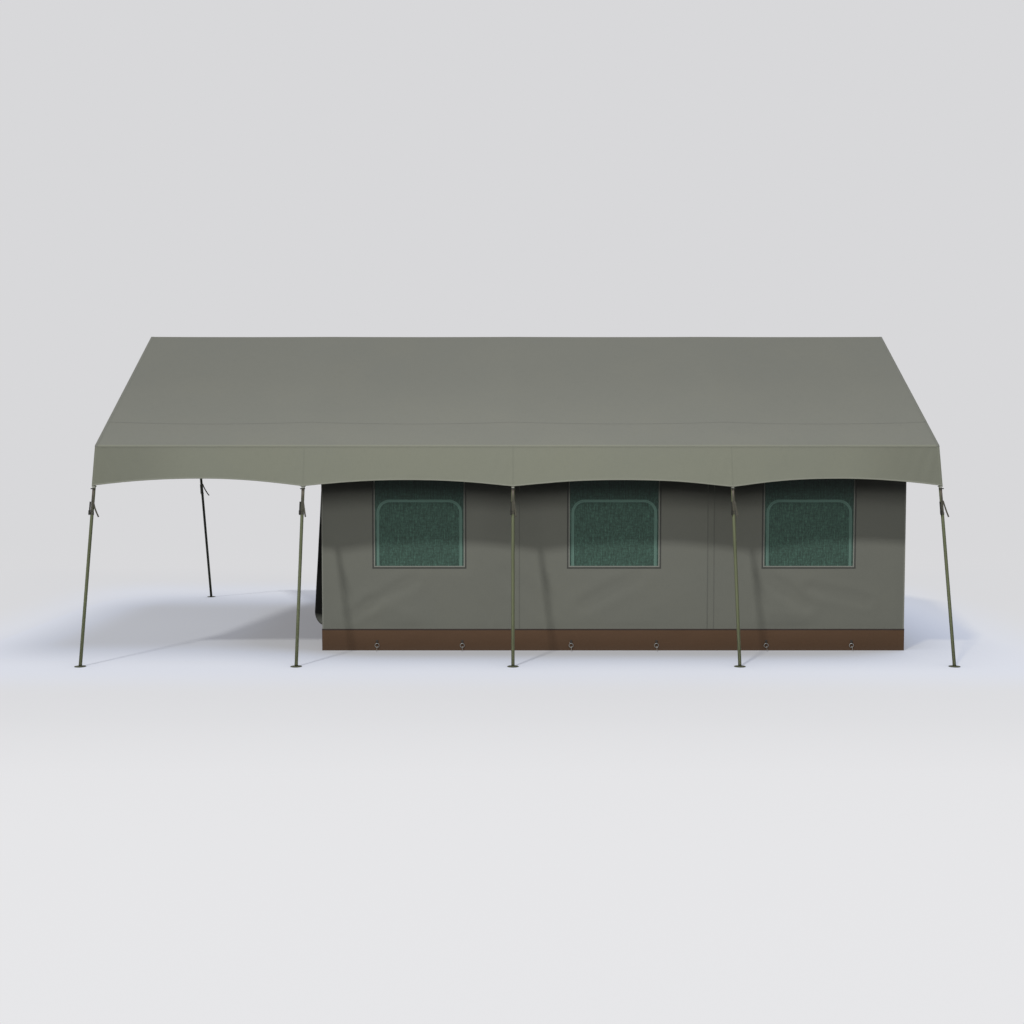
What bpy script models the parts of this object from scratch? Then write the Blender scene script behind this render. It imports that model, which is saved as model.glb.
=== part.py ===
"""Frame tent: three rooms and a veranda under one ridged fly sheet.

Five steel portals carry the fly.  X runs along the ridge, the veranda is at -X,
the photographed long side faces -Y and the ground is Z = 0.  Sizes are in metres.
"""
import math

import bpy
from mathutils import Vector

for old in list(bpy.data.objects):
    bpy.data.objects.remove(old, do_unlink=True)

# Fly sheet and frame
BAYS = (2.46, 2.47, 2.585, 2.445)
FLY_PAST_FRAME = 0.02
RIDGE_HEIGHT = 3.984
EAVE_HEIGHT = 2.51
EAVE_HALF_WIDTH = 2.504
HEM_DROP = 0.465
HEM_SPLAY = 0.143
HEM_RISES = (0.078, 0.062, 0.062, 0.078)
FOOT_SPLAY = 0.729
SLOPE_SAG = 0.035
CANVAS = 0.002
TUBE_RADIUS = 0.019
TUBE_WALL = 0.0018
SLEEVE_STEP = 0.005
SLEEVE_HALF_LENGTH = 0.04
FLAT_PAST_SLEEVE = 0.005
RAIL_CLEARANCE = 0.002
END_PIN_RADIUS = 0.008
END_PIN_CLEARANCE = 0.0004
END_PIN_STOP = 0.010
DISC_RADIUS = 0.065
DISC_THICKNESS = 0.006
PIN_RADIUS = 0.004
PIN_HALF_LENGTH = 0.031
PIN_BELOW_HEM = 0.013
GAP = 0.0003
SEAT = 0.0004
TUBE_SIDES = 12
DISC_SIDES = 24
PIN_SIDES = 8
SMOOTH_ANGLE = 35

# Strap that ties the hem to each leg: across it, out from it and down it from the hem
WEBBING = 0.002
WEBBING_WIDTH = 0.025
STRAP_ABOVE_HEM = 0.047
STRAP_BELOW_HEM = 0.358
STRAP_SHORT_OF_LOOP = 0.00625
BUCKLE_TOP = 0.253
BUCKLE_FOOT = 0.363
BUCKLE_WIDTH = 0.028
BUCKLE_DEPTH = 0.014
BUCKLE_SIDE = -0.020
TAIL_WIDTH = 0.02
TAIL_START = (0.0, 0.0012, 0.223)
TAIL_BEND = (0.014, 0.010, 0.308)
TAIL_END = (0.055, 0.024, 0.393)
TAIL_STEPS = 5

# Inner tent
ROOMS = 3
ROOM_LENGTH = 2.3757
INNER_END_INSET = 0.239
AISLE_WIDTH = 0.392
ROOF_SPACE = 0.1207
SKIRT_HEIGHT = 0.266
SKIRT_THICKNESS = 0.003
WALL_OVERLAP = 0.05
LOOP_WIDTH = 0.03
LOOP_PAST_SLEEVE = 0.02
LOOP_FROM_END = 0.056

# Windows, doorways and their flaps
WINDOW_WIDTH = 1.07
WINDOW_SILL = 1.005
WINDOW_BELOW_EAVE = 0.42
SCREEN_MARGIN = 0.03
SCREEN_THICKNESS = 0.0015
FLAP_MARGIN = 0.03
FLAP_ABOVE_FLOOR = 0.14
FLAP_CORNER = 0.158
FLAP_THICKNESS = 0.0015
FLAP_BELOW_SILL = 0.02
FLAP_CLEARANCE = 0.00045
DOOR_FROM_CORNER = 0.152
DOOR_BELOW_EAVE = 0.47
DOOR_LAP = 0.03
DOOR_ABOVE_SKIRT = 0.002
LEAF_GAP = 0.003
BELLY = 0.11
BELLY_RISE = 0.16
BELLY_LOW = 0.24
BELLY_CENTRE_SHARE = 0.35
PARTITION_DOOR_HALF_WIDTH = 0.45
PARTITION_DOOR_SILL = 0.15
PARTITION_DOOR_BELOW_EAVE = 0.62

# Grid counts
BAY_STEPS = 4
HEM_STEPS = 6
SLOPE_STEPS = 4
LEAF_STEPS = 10
LEAF_CROWDING = 1.6
CORNER_STEPS = 6

# Derived places along X
FRAME_X = [sum(BAYS[:k]) - sum(BAYS) / 2 for k in range(len(BAYS) + 1)]
FLY_HALF_LENGTH = FRAME_X[-1] + FLY_PAST_FRAME
INNER_HALF_WIDTH = EAVE_HALF_WIDTH - AISLE_WIDTH
INNER_END = FRAME_X[-1] - INNER_END_INSET
INNER_START = INNER_END - ROOMS * ROOM_LENGTH
WALL_START = INNER_START + SKIRT_THICKNESS + GAP
WALL_END = INNER_END - SKIRT_THICKNESS - GAP
WALL_OUT = INNER_HALF_WIDTH - SKIRT_THICKNESS - GAP
WALL_IN = WALL_OUT - CANVAS
ROOM_EDGES = [INNER_START + k * ROOM_LENGTH for k in range(ROOMS + 1)]

# Sizes that follow the tubes
SLEEVE_RADIUS = TUBE_RADIUS + SLEEVE_STEP
FLAT_ON_SLEEVE = SLEEVE_HALF_LENGTH + FLAT_PAST_SLEEVE
RIDGE_SAG = SLEEVE_STEP - RAIL_CLEARANCE

# Cross-section, as (y, z) on the +Y half: canvas corner, tube centres and directions
HEM_HEIGHT = EAVE_HEIGHT - HEM_DROP
HEM_HALF_WIDTH = EAVE_HALF_WIDTH + HEM_SPLAY
FOOT_HALF_WIDTH = EAVE_HALF_WIDTH + FOOT_SPLAY
SLOPE = math.atan2(RIDGE_HEIGHT - EAVE_HEIGHT, EAVE_HALF_WIDTH)
ROOF_NORMAL = Vector((math.sin(SLOPE), math.cos(SLOPE)))
CREASE = Vector((EAVE_HALF_WIDTH, EAVE_HEIGHT))
HEM_RUN = Vector((HEM_HALF_WIDTH, HEM_HEIGHT)) - CREASE
HEM_DOWN = HEM_RUN.normalized()
HEM_NORMAL = Vector((-HEM_DOWN.y, HEM_DOWN.x))
CREASE_BISECTOR = (ROOF_NORMAL + HEM_NORMAL).normalized()
CREASE_STRETCH = 1 / CREASE_BISECTOR.dot(ROOF_NORMAL)
CANVAS_OFFSET = SLEEVE_RADIUS + SEAT + CANVAS
EAVE_CENTRE = CREASE - CREASE_BISECTOR * CANVAS_OFFSET * CREASE_STRETCH
RIDGE_CENTRE = Vector((0, RIDGE_HEIGHT - CANVAS_OFFSET / math.cos(SLOPE)))
FOOT_CENTRE = Vector((FOOT_HALF_WIDTH, 0))
LEG_DOWN = (FOOT_CENTRE - EAVE_CENTRE).normalized()
RAFTER_UP = (RIDGE_CENTRE - EAVE_CENTRE).normalized()
HEM_DOWN_LEG = (EAVE_CENTRE.y - HEM_HEIGHT) / -LEG_DOWN.y
TUBE_START = SLEEVE_RADIUS + SEAT
INNER_SLOPE = math.tan(SLOPE)
INNER_EAVE_HEIGHT = EAVE_HEIGHT + AISLE_WIDTH * INNER_SLOPE - ROOF_SPACE
WINDOW_TOP = INNER_EAVE_HEIGHT - WINDOW_BELOW_EAVE
FLAP_WIDTH = WINDOW_WIDTH - 2 * FLAP_MARGIN
FLAP_LENGTH = WINDOW_SILL - FLAP_BELOW_SILL - FLAP_ABOVE_FLOOR
VERANDA_DOOR_HINGE = INNER_HALF_WIDTH - DOOR_FROM_CORNER
VERANDA_DOOR_TOP = INNER_EAVE_HEIGHT - DOOR_BELOW_EAVE
PARTITION_DOOR_TOP = INNER_EAVE_HEIGHT - PARTITION_DOOR_BELOW_EAVE


def paint(name, rgb, roughness, metallic=0.0):
    """Principled material of one colour."""
    made = bpy.data.materials.new(name)
    made.use_nodes = True
    shader = made.node_tree.nodes["Principled BSDF"]
    shader.inputs["Base Color"].default_value = (*rgb, 1)
    shader.inputs["Roughness"].default_value = roughness
    shader.inputs["Metallic"].default_value = metallic
    return made


ROOF_CANVAS = paint("roof_canvas", (0.20, 0.21, 0.17), 0.9)
HEM_CANVAS = paint("hem_canvas", (0.21, 0.22, 0.16), 0.9)
WALL_CANVAS = paint("wall_canvas", (0.15, 0.155, 0.13), 0.9)
SKIRT_PVC = paint("skirt_pvc", (0.085, 0.05, 0.032), 0.55)
GREEN_NET = paint("green_net", (0.03, 0.085, 0.06), 0.8)
OLIVE_STEEL = paint("olive_steel", (0.10, 0.11, 0.06), 0.45, 0.3)
TAN_WEBBING = paint("tan_webbing", (0.10, 0.09, 0.06), 0.85)


def at(x, side, point):
    """World point from an x, a side (+1 rear, -1 front) and a (y, z) of the +Y half."""
    return Vector((x, side * point[0], point[1]))


def closed_mesh(name, points, faces):
    """Mesh from points and faces, with every face turned outward by its signed volume."""
    mesh = bpy.data.meshes.new(name)
    mesh.from_pydata([tuple(p) for p in points], [], faces)
    mesh.validate()
    volume = 0.0
    for face in faces:
        first = points[face[0]]
        for b, c in zip(face[1:], face[2:]):
            volume += Vector(first).dot(Vector(points[b]).cross(Vector(points[c])))
    if volume < 0:
        mesh.flip_normals()
    mesh.update()
    return mesh


def loft(name, rings, looped=False):
    """Closed mesh through rings of equal count; looped joins the last ring to the first."""
    count = len(rings[0])
    points = [p for ring in rings for p in ring]
    faces = []
    spans = len(rings) if looped else len(rings) - 1
    for r in range(spans):
        here = r * count
        there = ((r + 1) % len(rings)) * count
        for k in range(count):
            n = (k + 1) % count
            faces.append((here + k, here + n, there + n, there + k))
    if not looped:
        faces.append(tuple(reversed(range(count))))
        faces.append(tuple(range(len(points) - count, len(points))))
    return closed_mesh(name, points, faces)


def sheet(name, outer, inner):
    """Thin closed solid between two grids of points, outer[i][j] facing inner[i][j]."""
    rows = len(outer)
    cols = len(outer[0])
    points = [p for grid in (outer, inner) for row in grid for p in row]
    under = rows * cols
    faces = []
    for i in range(rows - 1):
        for j in range(cols - 1):
            a = i * cols + j
            faces.append((a, a + 1, a + cols + 1, a + cols))
            faces.append((under + a, under + a + cols, under + a + cols + 1, under + a + 1))
    rim = [j for j in range(cols)]
    rim += [i * cols + cols - 1 for i in range(1, rows)]
    rim += [(rows - 1) * cols + j for j in range(cols - 2, -1, -1)]
    rim += [i * cols for i in range(rows - 2, 0, -1)]
    for k, a in enumerate(rim):
        b = rim[(k + 1) % len(rim)]
        faces.append((a, under + a, under + b, b))
    return closed_mesh(name, points, faces)


def box(name, low, high):
    """Closed box between two corners."""
    x0, y0, z0 = low
    x1, y1, z1 = high
    rings = [[(x, y0, z0), (x, y1, z0), (x, y1, z1), (x, y0, z1)] for x in (x0, x1)]
    return loft(name, rings)


def circle(centre, axis, start, radius, sides):
    """Points of a circle about an axis, the first one in the start direction."""
    across = Vector(start)
    up = Vector(axis).cross(across).normalized()
    turns = [2 * math.pi * k / sides for k in range(sides)]
    return [Vector(centre) + radius * (math.cos(t) * across + math.sin(t) * up) for t in turns]


def rod(name, start, end, first, radius, sides):
    """Solid round bar."""
    axis = (Vector(end) - Vector(start)).normalized()
    return loft(name, [circle(start, axis, first, radius, sides), circle(end, axis, first, radius, sides)])


def pipe(name, start, end, first, radius, bore, sides):
    """Round tube, open at both ends."""
    axis = (Vector(end) - Vector(start)).normalized()
    rings = [circle(start, axis, first, radius, sides), circle(end, axis, first, radius, sides)]
    rings += [circle(end, axis, first, bore, sides), circle(start, axis, first, bore, sides)]
    return loft(name, rings, looped=True)


def combine(name, base, others, operation="UNION"):
    """One mesh from closed meshes, joined or cut by exact Booleans."""
    holder = bpy.data.objects.new(name, base)
    bpy.context.collection.objects.link(holder)
    tools = []
    for mesh in others:
        tool = bpy.data.objects.new(name + "_tool", mesh)
        bpy.context.collection.objects.link(tool)
        step = holder.modifiers.new("step", "BOOLEAN")
        step.operation = operation
        step.solver = "EXACT"
        step.object = tool
        tools.append(tool)
    graph = bpy.context.evaluated_depsgraph_get()
    result = bpy.data.meshes.new_from_object(holder.evaluated_get(graph))
    for used in [holder] + tools:
        bpy.data.objects.remove(used, do_unlink=True)
    return result


def place(name, mesh, material, location=(0, 0, 0), round_piece=False):
    """Named object that shows a mesh."""
    if not mesh.materials:
        mesh.materials.append(material)
    mesh.materials[0] = material
    if round_piece:
        mesh.shade_smooth()
        mesh.set_sharp_from_angle(angle=math.radians(SMOOTH_ANGLE))
    made = bpy.data.objects.new(name, mesh)
    made.location = location
    bpy.context.collection.objects.link(made)
    return made


def shifted(mesh, offset):
    """Move a mesh's points so that its object's origin can lie on a joint axis."""
    for vertex in mesh.vertices:
        vertex.co -= Vector(offset)
    return mesh


def bay_share(x, margin):
    """Bay number and the share passed at x of the stretch between the margins beside its frames."""
    bay = max([k for k, frame in enumerate(FRAME_X[:-1]) if x >= frame], default=0)
    share = (x - FRAME_X[bay] - margin) / (BAYS[bay] - 2 * margin)
    return bay, min(1.0, max(0.0, share))


def arch(x, margin):
    """Parabola that is 0 beside each frame and 1 midway between frames."""
    share = bay_share(x, margin)[1]
    return 4 * share * (1 - share)


def stations(steps, margin):
    """X of every grid column along the fly, with one at or beside each frame."""
    places = [-FLY_HALF_LENGTH]
    for bay, length in enumerate(BAYS):
        run = length - 2 * margin
        places += [FRAME_X[bay] + margin + run * k / steps for k in range(steps + 1)]
    places.append(FLY_HALF_LENGTH)
    return sorted(set(round(x, 6) for x in places))


def crease_point(offset):
    """Corner of a layer that lies the given distance outside the eave tube's centre."""
    return EAVE_CENTRE + CREASE_BISECTOR * offset * CREASE_STRETCH


def roof_grid(offset):
    """Points of one face of the roof canvas, from the rear crease over the ridge to the front."""
    crease = crease_point(offset)
    top = Vector((0, RIDGE_CENTRE.y + offset / math.cos(SLOPE)))
    grid = []
    for x in stations(BAY_STEPS, FLAT_ON_SLEEVE):
        row = []
        for k in range(-SLOPE_STEPS, SLOPE_STEPS + 1):
            share = 1 - abs(k) / SLOPE_STEPS
            point = crease.lerp(top, share)
            dip = RIDGE_SAG * share + SLOPE_SAG * 4 * share * (1 - share)
            side = -1 if k < 0 else 1
            row.append(at(x, side, (point.x, point.y - dip * arch(x, FLAT_ON_SLEEVE))))
        grid.append(row)
    return grid


def hem_grid(side, offset):
    """Points of one face of the hanging hem panel, scalloped between the legs."""
    top = crease_point(offset) + HEM_DOWN * GAP
    bottom = crease_point(offset) + HEM_DOWN * HEM_RUN.length
    grid = []
    for x in stations(HEM_STEPS, 0):
        rise = HEM_RISES[bay_share(x, 0)[0]] * arch(x, 0) / -HEM_DOWN.y
        low = bottom - HEM_DOWN * rise
        grid.append([at(x, side, top), at(x, side, top.lerp(low, 0.5)), at(x, side, low)])
    return grid


def make_fly():
    """Roof canvas and the two hanging hem panels."""
    outer = CANVAS_OFFSET
    inner = CANVAS_OFFSET - CANVAS
    place("fly_roof", sheet("fly_roof", roof_grid(outer), roof_grid(inner)), ROOF_CANVAS)
    for side, word in ((-1, "front"), (1, "rear")):
        name = "fly_valance_" + word
        place(name, sheet(name, hem_grid(side, outer), hem_grid(side, inner)), HEM_CANVAS)


def rail_profile():
    """(x, radius) along a rail's outside, stepped out at the sleeve of each frame."""
    steps = [(-FLY_HALF_LENGTH, TUBE_RADIUS)]
    for x in FRAME_X:
        low = max(x - SLEEVE_HALF_LENGTH, -FLY_HALF_LENGTH + GAP)
        high = min(x + SLEEVE_HALF_LENGTH, FLY_HALF_LENGTH - GAP)
        steps += [(low, TUBE_RADIUS), (low, SLEEVE_RADIUS)]
        steps += [(high, SLEEVE_RADIUS), (high, TUBE_RADIUS)]
    steps.append((FLY_HALF_LENGTH, TUBE_RADIUS))
    return steps


def make_rail(name, side, centre, tubes):
    """Long tube with a sleeve at each frame, drilled for the end pins of the tubes that meet it."""
    bore = TUBE_RADIUS - TUBE_WALL
    profile = rail_profile() + [(FLY_HALF_LENGTH, bore), (-FLY_HALF_LENGTH, bore)]
    rings = [circle(at(x, side, centre), (1, 0, 0), (0, 1, 0), r, TUBE_SIDES) for x, r in profile]
    rail = loft(name, rings, looped=True)
    drills = []
    for x in FRAME_X:
        for tube_side, direction in tubes:
            start = at(x, tube_side, centre)
            end = at(x, tube_side, centre + direction * 2 * TUBE_START)
            radius = END_PIN_RADIUS + END_PIN_CLEARANCE
            drills.append(rod(name, start, end, (1, 0, 0), radius, TUBE_SIDES))
    place(name, combine(name, rail, drills, "DIFFERENCE"), OLIVE_STEEL, round_piece=True)


def make_rails():
    """Ridge rail and the two eave rails."""
    rafter_down = -RAFTER_UP
    make_rail("ridge_rail", 0, RIDGE_CENTRE, ((1, rafter_down), (-1, rafter_down)))
    for side, word in ((-1, "front"), (1, "rear")):
        make_rail("eave_rail_" + word, side, EAVE_CENTRE, ((side, RAFTER_UP), (side, LEG_DOWN)))


def pinned_end(centre, axis, way=1):
    """Rings of a tube's end, stepped down to a hollow pin for the rail; way -1 is the axis's far end."""
    shoulder = TUBE_START + TUBE_WALL
    outer = [(END_PIN_STOP, END_PIN_RADIUS), (TUBE_START, END_PIN_RADIUS), (TUBE_START, TUBE_RADIUS)]
    inner = [(shoulder, TUBE_RADIUS - TUBE_WALL), (shoulder, END_PIN_RADIUS - TUBE_WALL)]
    inner.append((END_PIN_STOP, END_PIN_RADIUS - TUBE_WALL))
    rings = []
    for profile in (outer, inner):
        rings.append([circle(centre + axis * way * d, axis, (1, 0, 0), r, TUBE_SIDES) for d, r in profile])
    return rings


def leg_mesh(side):
    """Splayed leg: tube with a pinned end, flat foot disc and the cross pin under the hem."""
    axis = at(0, side, LEG_DOWN)
    eave = at(0, side, EAVE_CENTRE)
    outer, inner = pinned_end(eave, axis)
    ground_cut = DISC_THICKNESS - TUBE_WALL
    for rings, top in ((outer, outer[-1]), (inner, inner[0])):
        bottom = [p + axis * ((p.z - ground_cut) / -axis.z) for p in top]
        rings.insert(rings.index(top) + (rings is outer), bottom)
    tube = loft("leg", outer + inner, looped=True)
    foot = at(0, side, FOOT_CENTRE)
    disc = rod("disc", foot, foot + Vector((0, 0, DISC_THICKNESS)), (1, 0, 0), DISC_RADIUS, DISC_SIDES)
    pin_centre = eave + axis * (HEM_DOWN_LEG + PIN_BELOW_HEM)
    half_pin = Vector((PIN_HALF_LENGTH, 0, 0))
    pin = rod("pin", pin_centre - half_pin, pin_centre + half_pin, (0, 0, 1), PIN_RADIUS, PIN_SIDES)
    return combine("leg", tube, [disc, pin])


def rafter_mesh(side):
    """Rafter tube between the eave sleeve and the ridge sleeve, with a pinned end in each."""
    axis = at(0, side, RAFTER_UP)
    low_outer, low_inner = pinned_end(at(0, side, EAVE_CENTRE), axis)
    high_outer, high_inner = pinned_end(at(0, side, RIDGE_CENTRE), axis, -1)
    return loft("rafter", low_outer + high_outer[::-1] + high_inner[::-1] + low_inner, looped=True)


def leg_space(side, across, out, down):
    """World point from the leg's own directions; down is measured along it from the hem."""
    outward = Vector((-LEG_DOWN.y, LEG_DOWN.x))
    point = EAVE_CENTRE + outward * out + LEG_DOWN * (HEM_DOWN_LEG + down)
    return at(across, side, point)


def leg_block(side, across, out, down):
    """Closed block between pairs of limits in the leg's own directions."""
    rings = []
    for a in across:
        corners = [(out[0], down[0]), (out[1], down[0]), (out[1], down[1]), (out[0], down[1])]
        rings.append([leg_space(side, a, o, d) for o, d in corners])
    return loft("block", rings)


def strap_tail(side):
    """Loose webbing end that leans away from the leg."""
    base = TUBE_RADIUS + WEBBING / 2
    rings = []
    for k in range(TAIL_STEPS + 1):
        t = k / TAIL_STEPS
        start, bend, end = (Vector(p) for p in (TAIL_START, TAIL_BEND, TAIL_END))
        p = start * (1 - t) ** 2 + bend * 2 * t * (1 - t) + end * t * t
        run = ((bend - start) * (1 - t) + (end - bend) * t).normalized()
        half = Vector((run.z, 0, -run.x)).normalized() * TAIL_WIDTH / 2
        corners = [(p - half, 0), (p + half, 0), (p + half, WEBBING), (p - half, WEBBING)]
        rings.append([leg_space(side, c.x, base + c.y + lift, c.z) for c, lift in corners])
    return loft("tail", rings)


def strap_mesh(side):
    """Webbing band from the hem to a loop round the leg, with its buckle and loose tail."""
    near = TUBE_RADIUS + SEAT
    far = near + WEBBING
    half = WEBBING_WIDTH / 2
    band_ends = (-STRAP_ABOVE_HEM, STRAP_BELOW_HEM - STRAP_SHORT_OF_LOOP)
    band = leg_block(side, (-half, half), (near, far), band_ends)
    loop_ends = [leg_space(side, 0, 0, STRAP_BELOW_HEM - d) for d in (WEBBING_WIDTH, 0)]
    loop = pipe("loop", *loop_ends, (1, 0, 0), far + GAP, near + GAP, TUBE_SIDES)
    side_limits = (BUCKLE_SIDE - BUCKLE_WIDTH / 2, BUCKLE_SIDE + BUCKLE_WIDTH / 2)
    out_limits = (far - WEBBING / 2, far - WEBBING / 2 + BUCKLE_DEPTH)
    buckle = leg_block(side, side_limits, out_limits, (BUCKLE_TOP, BUCKLE_FOOT))
    return combine("strap", band, [loop, buckle, strap_tail(side)])


def make_frames():
    """Legs, rafters and hem straps of the five portals."""
    for side, word in ((-1, "front"), (1, "rear")):
        leg = leg_mesh(side)
        rafter = rafter_mesh(side)
        strap = strap_mesh(side)
        for k, x in enumerate(FRAME_X):
            tail = "_" + word + "_" + str(k + 1)
            place("leg" + tail, leg, OLIVE_STEEL, (x, 0, 0), round_piece=True)
            place("rafter" + tail, rafter, OLIVE_STEEL, (x, 0, 0), round_piece=True)
            place("strap" + tail, strap, TAN_WEBBING, (x, 0, 0))


def make_groundsheet():
    """Tub floor with the brown skirt as its upstand."""
    low = (INNER_START, -INNER_HALF_WIDTH, 0)
    high = (INNER_END, INNER_HALF_WIDTH, SKIRT_HEIGHT)
    block = box("groundsheet", low, high)
    t = SKIRT_THICKNESS
    hollow_low = (low[0] + t, low[1] + t, t)
    hollow_high = (high[0] - t, high[1] - t, SKIRT_HEIGHT + t)
    hollow = box("hollow", hollow_low, hollow_high)
    place("groundsheet", combine("groundsheet", block, [hollow], "DIFFERENCE"), SKIRT_PVC)


def ceiling(y):
    """Height of the inner roof's underside at y."""
    return INNER_EAVE_HEIGHT + (INNER_HALF_WIDTH - abs(y)) * INNER_SLOPE


def window_centres():
    """Middle of each room, where its windows are."""
    return [(a + b) / 2 for a, b in zip(ROOM_EDGES, ROOM_EDGES[1:])]


def make_long_wall(side, word):
    """Long canvas wall with one window hole to a room."""
    foot = SKIRT_HEIGHT - WALL_OVERLAP
    top = ceiling(WALL_OUT) - SEAT
    y_low, y_high = sorted((side * WALL_IN, side * WALL_OUT))
    panel = box("wall", (WALL_START, y_low, foot), (WALL_END, y_high, top))
    holes = []
    for x in window_centres():
        low = (x - WINDOW_WIDTH / 2, y_low - WALL_OVERLAP, WINDOW_SILL)
        high = (x + WINDOW_WIDTH / 2, y_high + WALL_OVERLAP, WINDOW_TOP)
        holes.append(box("hole", low, high))
    place("wall_" + word, combine("wall", panel, holes, "DIFFERENCE"), WALL_CANVAS)


def gable_mesh(x_low, x_high, foot):
    """Five-sided panel across the tent, its top edges just under the inner roof."""
    wide = WALL_IN - GAP
    outline = [(-wide, foot), (wide, foot), (wide, ceiling(wide) - SEAT), (0, ceiling(0) - SEAT)]
    outline.append((-wide, ceiling(wide) - SEAT))
    return loft("gable", [[(x, y, z) for y, z in outline] for x in (x_low, x_high)])


def door_hole(x, half_width, sill, top):
    """Cutter for a doorway in a panel at x."""
    return box("hole", (x - WALL_OVERLAP, -half_width, sill), (x + WALL_OVERLAP, half_width, top))


def make_end_walls():
    """Veranda-end wall with its wide doorway, and the plain far-end wall."""
    foot = SKIRT_HEIGHT - WALL_OVERLAP
    panel = gable_mesh(WALL_START, WALL_START + CANVAS, foot)
    half_width = VERANDA_DOOR_HINGE - DOOR_LAP
    hole = door_hole(WALL_START, half_width, SKIRT_HEIGHT + DOOR_LAP, VERANDA_DOOR_TOP - DOOR_LAP)
    place("wall_veranda_end", combine("gable", panel, [hole], "DIFFERENCE"), WALL_CANVAS)
    place("wall_far_end", gable_mesh(WALL_END - CANVAS, WALL_END, foot), WALL_CANVAS)


def partition_x():
    """Middle plane of each room partition."""
    return ROOM_EDGES[1:-1]


def make_partitions():
    """Room partitions, each with a doorway closed by one flap on its veranda side."""
    floor = SKIRT_THICKNESS + GAP
    for k, x in enumerate(partition_x()):
        panel = gable_mesh(x - CANVAS / 2, x + CANVAS / 2, floor)
        hole = door_hole(x, PARTITION_DOOR_HALF_WIDTH, PARTITION_DOOR_SILL, PARTITION_DOOR_TOP)
        name = "partition_" + str(k + 1)
        place(name, combine(name, panel, [hole], "DIFFERENCE"), WALL_CANVAS)
        hinge_y = -PARTITION_DOOR_HALF_WIDTH - DOOR_LAP
        hinge_x = x - CANVAS - SEAT
        low = (hinge_x - CANVAS / 2, hinge_y, PARTITION_DOOR_SILL - DOOR_LAP)
        high = (hinge_x + CANVAS / 2, -hinge_y, PARTITION_DOOR_TOP + DOOR_LAP)
        origin = (hinge_x, hinge_y, 0)
        flap = shifted(box("flap", low, high), origin)
        place("partition_door_" + str(k + 1), flap, WALL_CANVAS, origin)


def belly(from_hinge, above_foot, width, height):
    """How far the slack door leaf stands out from its closed plane."""
    rise = min(1.0, from_hinge / BELLY_RISE)
    rise = rise * rise * (3 - 2 * rise)
    fade = 1 - (1 - BELLY_CENTRE_SHARE) * from_hinge / width
    if above_foot < BELLY_LOW:
        drop = math.sqrt(max(0.0, 1 - (1 - above_foot / BELLY_LOW) ** 2))
    else:
        drop = 1 - (above_foot - BELLY_LOW) / (height - BELLY_LOW)
    return BELLY * rise * fade * drop


def leaf_rows(count):
    """Shares of a leaf's run, closer together near the start where the belly turns."""
    return [(k / count) ** LEAF_CROWDING for k in range(count + 1)]


def make_veranda_doors():
    """Two slack door leaves, each sewn to the wall near a corner and meeting on the middle line."""
    width = VERANDA_DOOR_HINGE - LEAF_GAP / 2
    foot = SKIRT_HEIGHT + DOOR_ABOVE_SKIRT
    height = VERANDA_DOOR_TOP - foot
    face = WALL_START - SEAT
    for side, word in ((-1, "front"), (1, "rear")):
        grids = []
        for layer in (CANVAS, 0):
            grid = []
            for along in leaf_rows(LEAF_STEPS):
                row = []
                y = side * (VERANDA_DOOR_HINGE - along * width)
                for up in leaf_rows(LEAF_STEPS):
                    out = layer + belly(along * width, up * height, width, height)
                    row.append((face - out, y, foot + up * height))
                grid.append(row)
            grids.append(grid)
        origin = (face - CANVAS / 2, side * VERANDA_DOOR_HINGE, 0)
        leaf = shifted(sheet("leaf", *grids), origin)
        place("veranda_door_" + word, leaf, WALL_CANVAS, origin)


def flap_outline():
    """Window flap outline hanging from its hinge line, with two round lower corners."""
    half = FLAP_WIDTH / 2
    points = [(-half, -SEAT), (half, -SEAT)]
    for sign, start in ((1, 0), (-1, 90)):
        for k in range(CORNER_STEPS + 1):
            turn = math.radians(start + 90 * k / CORNER_STEPS)
            x = sign * (half - FLAP_CORNER) + FLAP_CORNER * math.cos(turn)
            z = -FLAP_LENGTH + FLAP_CORNER - FLAP_CORNER * math.sin(turn)
            points.append((x, z))
    return points


def make_windows():
    """Net screen over each window hole, and the arched flap that hangs open inside it."""
    screen_face = WALL_IN - GAP
    flap_y = screen_face - SCREEN_THICKNESS - FLAP_CLEARANCE - FLAP_THICKNESS / 2
    for side, word in ((-1, "front"), (1, "rear")):
        for k, x in enumerate(window_centres()):
            tail = "_" + word + "_" + str(k + 1)
            half = WINDOW_WIDTH / 2 + SCREEN_MARGIN
            y_low, y_high = sorted((side * screen_face, side * (screen_face - SCREEN_THICKNESS)))
            low = (x - half, y_low, WINDOW_SILL - SCREEN_MARGIN)
            high = (x + half, y_high, WINDOW_TOP + SCREEN_MARGIN)
            place("window_net" + tail, box("net", low, high), GREEN_NET)
            rings = []
            for y in (-FLAP_THICKNESS / 2, FLAP_THICKNESS / 2):
                rings.append([(px, y, pz) for px, pz in flap_outline()])
            origin = (x, side * flap_y, WINDOW_SILL - FLAP_BELOW_SILL)
            place("window_flap" + tail, loft("flap", rings), WALL_CANVAS, origin)


def loop_places():
    """X of each hanging loop: beside the frames above the rooms and near both ends."""
    places = [INNER_START + LOOP_FROM_END, INNER_END - LOOP_FROM_END]
    reach = SLEEVE_HALF_LENGTH + LOOP_WIDTH
    places = [x for x in places if all(abs(x - f) > reach for f in FRAME_X)]
    step = SLEEVE_HALF_LENGTH + LOOP_WIDTH / 2 + LOOP_PAST_SLEEVE
    beside = [f + step for f in FRAME_X if INNER_START < f < INNER_END - 2 * step]
    return sorted(places + beside)


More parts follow.
